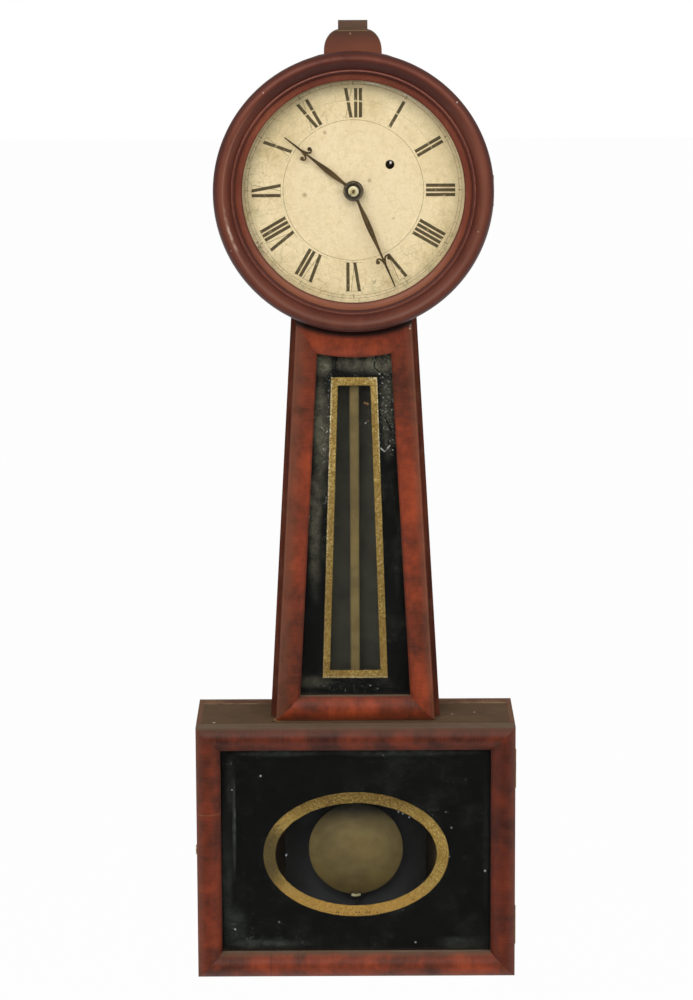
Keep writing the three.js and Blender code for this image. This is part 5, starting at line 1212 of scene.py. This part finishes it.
def throatArch(look):
    # stations along the arched top rail, from its left mitre to its right one
    outer, inner = look["archOuter"], look["archInner"]
    outerAngle = math.asin(frameHalf(-outer) / outer)
    innerAngle = math.asin(look["openTop"] / inner)
    steps = look["archSteps"]
    stations = [leftMitre(topOuter, topInner)]
    for i in range(steps + 1):
        outerTurn = outerAngle * (2 * i / steps - 1)
        innerTurn = innerAngle * (2 * (i + 1) / (steps + 2) - 1)
        stations.append((
            (outer * math.sin(outerTurn), -outer * math.cos(outerTurn)),
            (inner * math.sin(innerTurn), -inner * math.cos(innerTurn)),
        ))
    return stations + [(topOuter, topInner)]


def throatEdge(x, z, side):
    return -side + (z * -throat["spread"] + frameHalf(0.0))


throatSection = cushion(throat["frameBack"], throat["frameFront"], throat["glassFront"], 0.23, 0.82, 0.72)
topInner = (throat["openTop"], -math.sqrt(throat["archInner"] ** 2 - throat["openTop"] ** 2))
topOuter = (frameHalf(-throat["mitreDrop"]), -throat["mitreDrop"])
boxTop = throat["boxTop"] + throat["glue"]
bottomOuter = (frameHalf(boxTop), boxTop)
bottomInner = (throat["openBottom"], -throat["openBottomDrop"])
throatLooks = {
    "throat_stile_right": {
        "run": "z", "seed": 1.0, "wide": 18.0, "edge": throatEdge, "lift": 0.08, "browning": 0.8,
        "brown": 7.0, "under": 116.8,
        "bands": [
            (-160.0, 22.0, -0.06), (-206.0, 20.0, 0.12), (-250.0, 24.0, 0.14), (-292.0, 14.0, 0.08),
            (-395.0, 18.0, 0.12),
        ],
        "specks": [(tint(190, 160, 138), [(43.8, -105.2, 1.2), (43.9, -108.0, 0.8)])],
    },
    "throat_stile_left": {
        "run": "z", "seed": 2.0, "wide": 18.0, "edge": throatEdge, "lift": 0.04, "browning": 1.0,
        "brown": 13.0, "under": 116.8, "lining": 0.2,
        "bands": [
            (-150.0, 30.0, -0.08), (-222.0, 16.0, 0.2), (-256.0, 20.0, 0.14), (-300.0, 30.0, 0.04),
            (-372.0, 24.0, -0.16),
        ],
    },
    "throat_rail_top": {
        "run": "x", "seed": 3.0, "wide": 26.0, "edge": lambda x, z, side: -z - throat["archOuter"],
        "lift": 0.12, "browning": 0.3, "bands": [(0.0, 26.0, 0.12)], "lining": 0.0, "under": 116.8,
    },
    "throat_rail_bottom": {
        "run": "x", "seed": 4.0, "wide": 19.0, "edge": lambda x, z, side: z - boxTop, "lift": 0.06,
        "browning": 0.4, "bands": [(-20.0, 7.0, 0.12), (22.0, 6.0, -0.16), (-2.0, 10.0, 0.1)],
        "lining": 0.2,
    },
}
throatRuns = {
    "throat_stile_right": ("throatStileRight", [(topOuter, topInner), (bottomOuter, bottomInner)]),
    "throat_stile_left": (
        "throatStileLeft", [leftMitre(topOuter, topInner), leftMitre(bottomOuter, bottomInner)],
    ),
    "throat_rail_top": ("throatRailTop", throatArch(throat)),
    "throat_rail_bottom": (
        "throatRailBottom", [leftMitre(bottomOuter, bottomInner), (bottomOuter, bottomInner)],
    ),
}


def makeFrame(runs, section, looks, body):
    members = {}
    for node, (name, stations) in runs.items():
        member = Shape()
        member.moulding(stations, section)
        material = veneer(name + "Veneer", looks[node])
        members[node] = member.piece(name, material, body, "mahogany_veneer", [node], 32)
    return members


makeFrame(throatRuns, throatSection, throatLooks, "case")
print("throat finished")

# door frame
door = {
    "half": 127.2, "top": -424.8, "bottom": -630.9, "back": -78.3, "front": -98.0, "glassFront": -86.1,
    "rail": 19.3,
    "hinge": {"left": 119.9, "bed": -79.6, "lows": (-478.8, -608.9), "high": 32.0, "gap": 0.3},
    "mortise": {"left": -119.0, "right": -115.0, "bed": -86.4, "low": -543.9, "high": -517.9},
    "keeper": {"left": -122.15, "right": -111.85, "radius": 1.15, "at": (-81.0, -530.9)},
}
doorSection = cushion(door["back"], door["front"], door["glassFront"], 0.27, 0.76, 0.66)


def corner(side, end):
    level = door["top"] if end > 0 else door["bottom"]
    return ((side * door["half"], level), (side * (door["half"] - door["rail"]), level - end * door["rail"]))


def stileEdge(x, z, side):
    return -side + door["half"]


doorLooks = {
    "door_stile_left": {
        "run": "z", "seed": 5.0, "wide": door["rail"], "edge": stileEdge, "browning": 0.5,
        "bands": [(-452.0, 14.0, 0.04), (-500.0, 16.0, -0.05), (-600.0, 14.0, 0.05)],
        "seams": [(-495.5, "worn")], "lining": 0.15, "deep": 0.28,
    },
    "door_stile_right": {
        "run": "z", "seed": 6.0, "wide": door["rail"], "edge": stileEdge, "browning": 0.4, "lining": 0.15,
        "deep": 0.52,
        "bands": [
            (-484.0, 10.0, 0.06), (-510.0, 14.0, -0.14), (-545.0, 12.0, 0.06), (-583.0, 10.0, -0.03),
            (-612.0, 10.0, -0.03),
        ],
    },
    "door_rail_top": {
        "run": "x", "seed": 7.0, "wide": door["rail"], "edge": lambda x, z, side: -z + door["top"],
        "lift": 0.02, "browning": 1.0, "brown": 8.0, "browned": tint(84, 56, 42), "seams": [(-38.0, "dark")],
        "line": 0.3, "lining": 0.9, "lined": tint(84, 68, 54), "deep": 0.34,
        "bands": [
            (-26.0, 9.0, -0.28), (19.0, 5.0, -0.2), (62.0, 5.0, -0.18), (-8.0, 8.0, 0.14), (38.0, 9.0, 0.14),
            (-48.0, 8.0, 0.08), (-95.0, 22.0, -0.22), (100.0, 16.0, -0.16),
        ],
    },
    "door_rail_bottom": {
        "run": "x", "seed": 8.0, "wide": door["rail"], "edge": lambda x, z, side: z - door["bottom"],
        "lift": 0.04, "browning": 0.25, "seams": [(-68.5, "dark"), (-41.0, "dark")], "lining": 0.1,
        "deep": 0.1,
        "bands": [
            (-46.0, 5.0, -0.14), (-22.0, 8.0, 0.1), (6.0, 6.0, 0.14), (32.0, 5.0, -0.14), (60.0, 6.0, -0.12),
            (-62.0, 8.0, 0.1), (92.0, 12.0, 0.08), (-105.0, 12.0, -0.18),
        ],
    },
}
doorRuns = {
    "door_stile_left": ("doorStileLeft", [corner(-1, 1), corner(-1, -1)]),
    "door_stile_right": ("doorStileRight", [corner(1, 1), corner(1, -1)]),
    "door_rail_top": ("doorRailTop", [corner(-1, 1), corner(1, 1)]),
    "door_rail_bottom": ("doorRailBottom", [corner(-1, -1), corner(1, -1)]),
}
doorPieces = makeFrame(doorRuns, doorSection, doorLooks, "door")
behind, outside = door["back"] + past, door["half"] + past
hinge, mortise, keeper = door["hinge"], door["mortise"], door["keeper"]
gap = hinge["gap"]
carve(doorPieces["door_stile_right"], [
    boxShape(hinge["left"], outside, behind, hinge["bed"], low - gap, low + hinge["high"] + gap)
    for low in hinge["lows"]
])
keeperHole = Shape()
keeperHole.lathe([
    (0.0, keeper["left"]), (keeper["radius"], keeper["left"]), (keeper["radius"], keeper["right"]),
    (0.0, keeper["right"]),
], 16, keeper["at"], closed=False, axis="x")
carve(doorPieces["door_stile_left"], [
    boxShape(mortise["left"], mortise["right"], behind, mortise["bed"], mortise["low"], mortise["high"]),
    keeperHole,
])
print("door finished")

# glasses and their paint
brownSpecks = [(8.4, -168.4, 0.75), (10.4, -169.4, 0.9), (11.0, -183.0, 0.6), (12.4, -209.0, 0.4)]
greySpecks = [
    (9.0, -184.6, 0.6), (34.0, -496.5, 0.5), (37.5, -498.0, 0.45), (42.5, -501.0, 0.45), (30.5, -505.0, 0.35),
    (-56.0, -532.0, 0.7),
]
tabletLook = {
    "wave": 0.12, "smear": 0.1,
    "marks": [
        (tint(128, 92, 60), lambda glass, x, z, smear: glass.spots(x, z, brownSpecks) * 0.7),
        (tint(150, 156, 160), lambda glass, x, z, smear: glass.spots(x, z, greySpecks) * 0.75),
    ],
}
dress(clearGlass("tabletGlass", tabletLook), "throat_glass", "door_glass")

throatPaintLook = {
    "mist": tint(122, 118, 98),
    # patches of haze and crackle: (x, z, half width, half height, strength)
    "haze": [
        (-26.0, -136.0, 8.0, 16.0, 0.9), (20.0, -135.0, 16.0, 10.0, 0.75), (-27.0, -185.0, 7.0, 52.0, 0.6),
        (-32.0, -265.0, 6.0, 56.0, 0.42), (0.0, -136.0, 16.0, 8.0, 0.5), (27.0, -170.0, 6.0, 40.0, 0.3),
        (34.0, -300.0, 2.5, 30.0, 0.06), (-36.0, -395.0, 16.0, 6.0, 0.3),
    ],
    "cracks": [
        (17.0, -130.0, 16.0, -140.0, 0.5), (16.0, -140.0, 24.0, -148.0, 0.45),
        (24.5, -180.0, 29.5, -192.0, 0.5), (29.5, -192.0, 27.0, -201.0, 0.5),
        (27.0, -201.0, 33.0, -208.0, 0.45), (-14.0, -131.0, -14.5, -142.0, 0.5),
    ],
    # strokes of lifted paint, painted with glints
    "liftedGlints": [
        (20.6, -204.8, 23.8, -207.6, 0.45), (23.8, -207.6, 28.0, -203.0, 0.5),
        (15.8, -132.0, 16.6, -135.0, 0.25), (-26.0, -188.0, -24.0, -190.5, 0.3),
        (-22.5, -192.5, -21.0, -191.0, 0.3),
    ],
    "crackle": [
        (25.5, -168.0, 6.0, 36.0, 1.0), (29.0, -196.0, 5.0, 18.0, 1.0), (-19.5, -190.0, 2.4, 60.0, 0.9),
        (-23.5, -210.0, 3.0, 10.0, 0.9), (-22.0, -245.0, 3.0, 9.0, 0.8), (19.0, -205.0, 1.6, 30.0, 0.7),
        (2.0, -146.0, 13.0, 1.2, 0.3), (-6.0, -398.0, 30.0, 5.0, 0.35),
    ],
    "specks": [(20.0, -145.5, 0.6), (-36.0, -260.0, 0.4), (33.0, -150.0, 0.4), (12.0, -398.0, 0.4)],
}
doorPaintLook = {
    "mist": tint(78, 82, 76),
    "haze": [
        (-97.5, -505.0, 1.4, 42.0, 0.6), (-100.0, -470.0, 4.0, 26.0, 0.2), (-60.0, -447.5, 40.0, 3.6, 0.6),
        (40.0, -447.5, 60.0, 4.0, 0.6), (-98.0, -590.0, 12.0, 18.0, 0.35), (-70.0, -606.0, 40.0, 4.5, 0.5),
        (88.0, -606.0, 22.0, 6.0, 0.35), (-104.0, -560.0, 5.0, 60.0, 0.25),
        (104.0, -520.0, 3.0, 60.0, 0.15),
    ],
    "crackle": [(-90.0, -601.0, 12.0, 1.6, 0.45), (-97.0, -500.0, 1.0, 5.0, 0.3)],
    "specks": [
        (-76.0, -466.5, 0.7), (76.5, -510.0, 0.55), (103.5, -546.0, 0.75), (47.7, -605.5, 0.6),
        (-97.5, -594.0, 0.6), (-62.0, -588.0, 0.5), (72.0, -497.0, 0.4), (75.0, -534.0, 0.5),
        (-99.0, -478.0, 0.45), (88.0, -470.0, 0.35), (22.0, -450.0, 0.35),
    ],
}
dress(blackPaint("throatBlack", throatPaintLook), "throat_tablet_paint")
dress(blackPaint("doorBlack", doorPaintLook), "door_tablet_paint")

leafThick = 0.05


def raggedBand(outer, inner, level):
    # gold leaf with hand-cut edges, between two closed lines of (x, z)
    middle = (max(z for x, z in outer) + min(z for x, z in outer)) / 2
    lines = []
    for line, amount in ((outer, 0.3), (inner, 0.22)):
        lines.append([])
        for x, z in line:
            coarse = amount * noise.noise(Vector((x * 0.9, z * 0.9, amount)))
            push = coarse + 0.5 * amount * noise.noise(Vector((x * 2.7, z * 2.7, 4.0)))
            reach = math.hypot(x, z - middle)
            lines[-1].append((x + x / reach * push, z + (z - middle) / reach * push))
    band = Shape()
    corners = ((0, level), (1, level), (1, level - leafThick), (0, level - leafThick))
    band.skin([
        [(lines[side][i][0], y, lines[side][i][1]) for side, y in corners] for i in range(len(outer))
    ], ring=True)
    return band


def alongLines(corners, steps):
    line = []
    for (x1, z1), (x2, z2) in zip(corners, corners[1:] + corners[:1]):
        line += [(x1 + (x2 - x1) * i / steps, z1 + (z2 - z1) * i / steps) for i in range(steps)]
    return line


window = {
    "top": -154.6, "bottom": -385.2, "topHalf": 12.9, "bottomHalf": 20.3, "side": 5.4, "end": 6.4,
    "steps": 90, "level": -61.93,
}
oval = {"z": -531.8, "outer": (74.3, 51.5), "inner": (64.9, 42.6), "steps": 420, "level": -83.93}


def windowLine(look, side, end):
    # the clear window's outline, made wider and taller by the border
    spread = (look["bottomHalf"] - look["topHalf"]) / (look["top"] - look["bottom"])
    top, bottom = look["top"] + end, look["bottom"] - end
    topHalf, bottomHalf = look["topHalf"] - end * spread + side, look["bottomHalf"] + end * spread + side
    corners = [(-topHalf, top), (topHalf, top), (bottomHalf, bottom), (-bottomHalf, bottom)]
    return alongLines(corners, look["steps"])


def ovalLine(look, wide, high):
    turns = [2 * math.pi * i / look["steps"] for i in range(look["steps"])]
    return [(wide * math.cos(turn), high * math.sin(turn) + look["z"]) for turn in turns]


def borderGlints(x, z):
    # where the border's painted glints fall: along its sides, its foot and the right of its top
    half = z * -0.03209 + 13.34  # half width of the border's outer edge
    leftEdge = (half + x).rise(1.7, 0.3)
    rightEdge = (half - x).rise(1.3, 0.2) * z.rise(-230.0, -215.0)
    foot = z.rise(-389.6, -390.8) * 0.6
    sides = leftEdge.most(rightEdge) * (z.rise(-320.0, -270.0) * 0.7 + 0.25)
    return sides.most(foot).most(z.rise(-151.0, -149.0) * x.rise(8.0, 15.0))


borderLook = {"worn": lambda x, z: z.rise(-180.0, -330.0) * 0.5, "glints": borderGlints}
outer, inner = windowLine(window, window["side"], window["end"]), windowLine(window, 0.0, 0.0)
border = raggedBand(outer, inner, window["level"])
borderGilt = giltFinish("throatGilt", borderLook)
border.piece("throatGiltBorder", borderGilt, "case", "gilt", ["throat_gilt_border"], None, 0.0001)
ovalTicks = [(x, -580.2, 0.7) for x in (-16.0, -14.2, 0.0, 2.2, 8.2, 10.6, 17.0)]
ovalLook = {
    "worn": lambda x, z: z.rise(-508.0, -486.0),
    "ticks": ovalTicks + [(46.0, -570.0, 0.6), (-62.0, -508.0, 0.7)],
    # painted shade on the oval's left side, and a painted highlight along its bottom
    "shade": lambda x, z: x.rise(-46.0, -68.0) * abs(z - oval["z"]).rise(34.0, 12.0) * 0.8,
    "lift": lambda x, z: z.rise(-552.0, -575.0) * 0.8,
}
ovalBand = raggedBand(ovalLine(oval, *oval["outer"]), ovalLine(oval, *oval["inner"]), oval["level"])
ovalGilt = giltFinish("ovalGilt", ovalLook)
ovalBand.piece("doorGiltOval", ovalGilt, "door", "gilt", ["door_gilt_oval"], None, 0.0001)
print("glasses finished")

# works, pendulum and weight
agedBrassMaterial = metalFinish("agedBrass", agedBrassFinish)
dress(
    brassMaterial, "movement_back_plate", "movement_front_plate", "great_wheel", "centre_wheel",
    "third_wheel", "escape_wheel", "cannon_pinion", "minute_wheel", "hour_wheel", "pendulum_bridge",
    "weight_pulley", "door_hinge_upper_case_leaf", "door_hinge_upper_door_leaf",
    "door_hinge_lower_case_leaf", "door_hinge_lower_door_leaf", "bezel_hinge_case_leaf",
    "bezel_hinge_bezel_leaf", "door_latch",
)
dress(metalFinish("steel", steelFinish), "anchor", "crutch", "suspension_spring", "door_keeper_pin")
dress(metalFinish("iron", ironFinish), "hanger_plate", "driving_weight")
dress(metalFinish("baffleIron", baffleFinish), "weight_baffle")
dress(metalFinish("windingSteel", windingFinish), "winding_barrel")
dress(agedBrassMaterial, "pendulum_rod")

bob = {
    "z": -535.3, "radius": 38.0, "thick": 14.0, "rim": 2.4, "middle": -54.4, "power": 2.4, "rings": 20,
    "steps": 112, "slotHalf": 4.0, "slotBack": -52.6, "slotFront": -56.2, "slotReach": 42.0,
}
outline = []
for i in range(bob["rings"] + 1):
    share = i / bob["rings"]
    rise = bob["rim"] / 2 + (bob["thick"] - bob["rim"]) / 2 * (1 - share ** bob["power"])
    outline.append((bob["radius"] * share, rise))
front = [(radius, bob["middle"] - rise) for radius, rise in outline]
back = [(radius, bob["middle"] + rise) for radius, rise in outline[::-1]]
lens = Shape()
lens.lathe(front + back, bob["steps"], (0.0, bob["z"]), closed=False)
bobPiece = lens.piece("pendulumBob", agedBrassMaterial, "bob", "aged_brass", ["pendulum_bob"], 32)
half, low, high = bob["slotHalf"], bob["z"] - bob["slotReach"], bob["z"] + bob["slotReach"]
carve(bobPiece, [boxShape(-half, half, bob["slotBack"], bob["slotFront"], low, high)])

nut = {
    "radius": 3.8, "top": -573.4, "high": 3.0, "bore": 1.75, "teeth": 24, "groove": 0.22, "bevel": 0.3,
    "endShare": 0.93,
}
rings = []
nutTop, nutFoot, bevel, endShare = nut["top"], nut["top"] - nut["high"], nut["bevel"], nut["endShare"]
for level, share in ((nutTop, endShare), (nutTop - bevel, 1.0), (nutFoot + bevel, 1.0), (nutFoot, endShare)):
    rings.append([])
    for k in range(nut["teeth"] * 4):
        angle = 2 * math.pi * k / (nut["teeth"] * 4)
        radius = nut["radius"] * share - (nut["groove"] if k % 4 in (2, 3) else 0.0)
        rings[-1].append((radius * math.sin(angle), bob["middle"] + radius * math.cos(angle), level))
shrink = nut["bore"] / nut["radius"]
for level in (nutFoot, nutTop):
    rings.append([(shrink * x, bob["middle"] + shrink * (y - bob["middle"]), level) for x, y, _ in rings[1]])
knurl = Shape()
knurl.skin(rings, ring=True)


def nutShade(metal, colour, x, y, z):
    # painted shade on the nut's lower part
    return metal.blend(colour, tint(34, 30, 22), z.rise(-574.5, -575.2))


nutFinish = dict(
    brassFinish, clean=tint(206, 198, 158), stained=tint(160, 150, 108), rough=0.4,
    metal=0.3, extra=nutShade,
)
knurl.piece("ratingNut", metalFinish("nutBrass", nutFinish), "nut", "brass", ["rating_nut"], 40)

cord = {
    "radius": 0.8, "y": -31.0, "top": 19.9, "end": -27.6, "pulleyZ": -444.9, "groove": 13.0, "pulleyX": 5.45,
    "twist": 3.4, "rise": 378.8, "bendSteps": 28, "strandSteps": 290,
}


def layCord(look, line):
    # two plies twisted round each other along a line
    shape = Shape()
    sides = 6
    ply = look["radius"] * 0.5
    travelled = [0.0]
    for i in range(1, len(line)):
        travelled.append(travelled[-1] + math.hypot(line[i][0] - line[i - 1][0], line[i][1] - line[i - 1][1]))
    for start in (0.0, math.pi):
        rows = []
        for i, (x, z) in enumerate(line):
            acrossX, acrossZ = across(line, i)
            turn = start + travelled[i] / look["twist"] * 2 * math.pi
            row = []
            for k in range(sides):
                angle = 2 * math.pi * k / sides
                aside = ply * (math.cos(turn) + math.cos(angle))
                deeper = ply * (math.sin(turn) + math.sin(angle))
                row.append((x + acrossX * aside, look["y"] + deeper, z + acrossZ * aside))
            rows.append(row)
        shape.skin(rows)
    return shape


cordMaterial = cordFinish("cord")
bends = [math.pi * i / cord["bendSteps"] for i in range(cord["bendSteps"] + 1)]
pulleyX, pulleyZ, groove = cord["pulleyX"], cord["pulleyZ"], cord["groove"]
loop = [(pulleyX + groove * math.cos(bend), pulleyZ - groove * math.sin(bend)) for bend in bends]
weightBody = nodes["weight_cord"]["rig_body"]
layCord(cord, loop).piece("weightCord", cordMaterial, weightBody, "cord", ["weight_cord"], 60, 0.0001)
# the two strands run from the loop up to the post and to the barrel, on the case, and each has a mesh of its
# own
for name, side, top in (("cordToPost", 1, cord["top"]), ("cordToBarrel", -1, cord["end"])):
    strandX, strandLong = pulleyX + side * groove, top - pulleyZ
    steps = cord["strandSteps"]
    line = [(strandX, pulleyZ + strandLong * i / steps) for i in range(steps + 1)]
    strand = layCord(cord, line).piece(name, cordMaterial, "case", "cord", (), 60, 0.0001)
    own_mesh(strand)
print("works finished")


# floor, light and world
studio = {
    "floor": -1.25, "front": -1.2, "back": 14.0, "side": 5.0, "level": 0.6, "keep": 0.04,
    "aim": (0.0, -0.05, -0.26),
}
ground = bpy.data.meshes.new("floor")
wide, front, back = studio["side"], studio["front"], studio["back"]
corners = [(-wide, front), (wide, front), (wide, back), (-wide, back)]
ground.from_pydata([(x, y, studio["floor"]) for x, y in corners], [], [(0, 1, 2, 3)])
floor = addObject("floor", ground)
paper = Finish("floor")
pale = paper.node("ShaderNodeBsdfDiffuse", None, {"Color": (0.93, 0.93, 0.93)})
lit = paper.node("ShaderNodeEmission", None, {"Strength": 1.0})
path = paper.outputs("ShaderNodeLightPath")
direct = path["Is Camera Ray"].most(path["Is Glossy Ray"]).most(path["Is Transmission Ray"])
share = direct * (1.0 - studio["keep"])
ground.materials.append(paper.close(paper.node("ShaderNodeMixShader", None, {0: share, 1: pale, 2: lit})))

world = bpy.data.worlds.new("studio")
bpy.context.scene.world = world
sky = Finish("studio", world)
aheadX, aheadY, aheadZ = sky.parts(sky.node("ShaderNodeTexCoord", None, None, "Generated"))
path = sky.outputs("ShaderNodeLightPath")
behind = aheadY.rise(0.0, 0.35)
room = 0.02 + abs(aheadX).rise(0.25, 0.9) * 0.4 + aheadZ.rise(0.12, 0.7) * 0.4
gloss = behind * 0.4 + (1.0 - behind) * room.least(0.7)
first = path["Diffuse Depth"].rise(0.6, 0.4)
reflected = path["Glossy Depth"].rise(0.4, 0.6)
white = path["Is Camera Ray"].most(path["Is Transmission Ray"] * first * (1.0 - reflected))
shine = reflected * first
level = studio["level"] * (1.0 - shine) + gloss * shine
strength = level * (1.0 - white) + white
background = sky.node("ShaderNodeBackground", None, {"Color": (1.0, 1.0, 1.0), "Strength": strength})
sky.close(background, "ShaderNodeOutputWorld")

lamps = [
    {"name": "keyLamp", "place": (-1.1, -2.7, 1.6), "size": 2.2, "power": 44},
    {"name": "fillLamp", "place": (1.6, -2.5, 1.3), "size": 2.2, "power": 30},
]
for lamp in lamps:
    data = bpy.data.lights.new(lamp["name"], "AREA")
    data.shape = "DISK"
    data.size = lamp["size"]
    data.energy = lamp["power"]
    light = addObject(lamp["name"], data)
    light.location = lamp["place"]
    aim = Vector(studio["aim"]) - Vector(lamp["place"])
    light.rotation_euler = aim.to_track_quat("-Z", "Y").to_euler()
    light.visible_camera = False
print("stage lit")
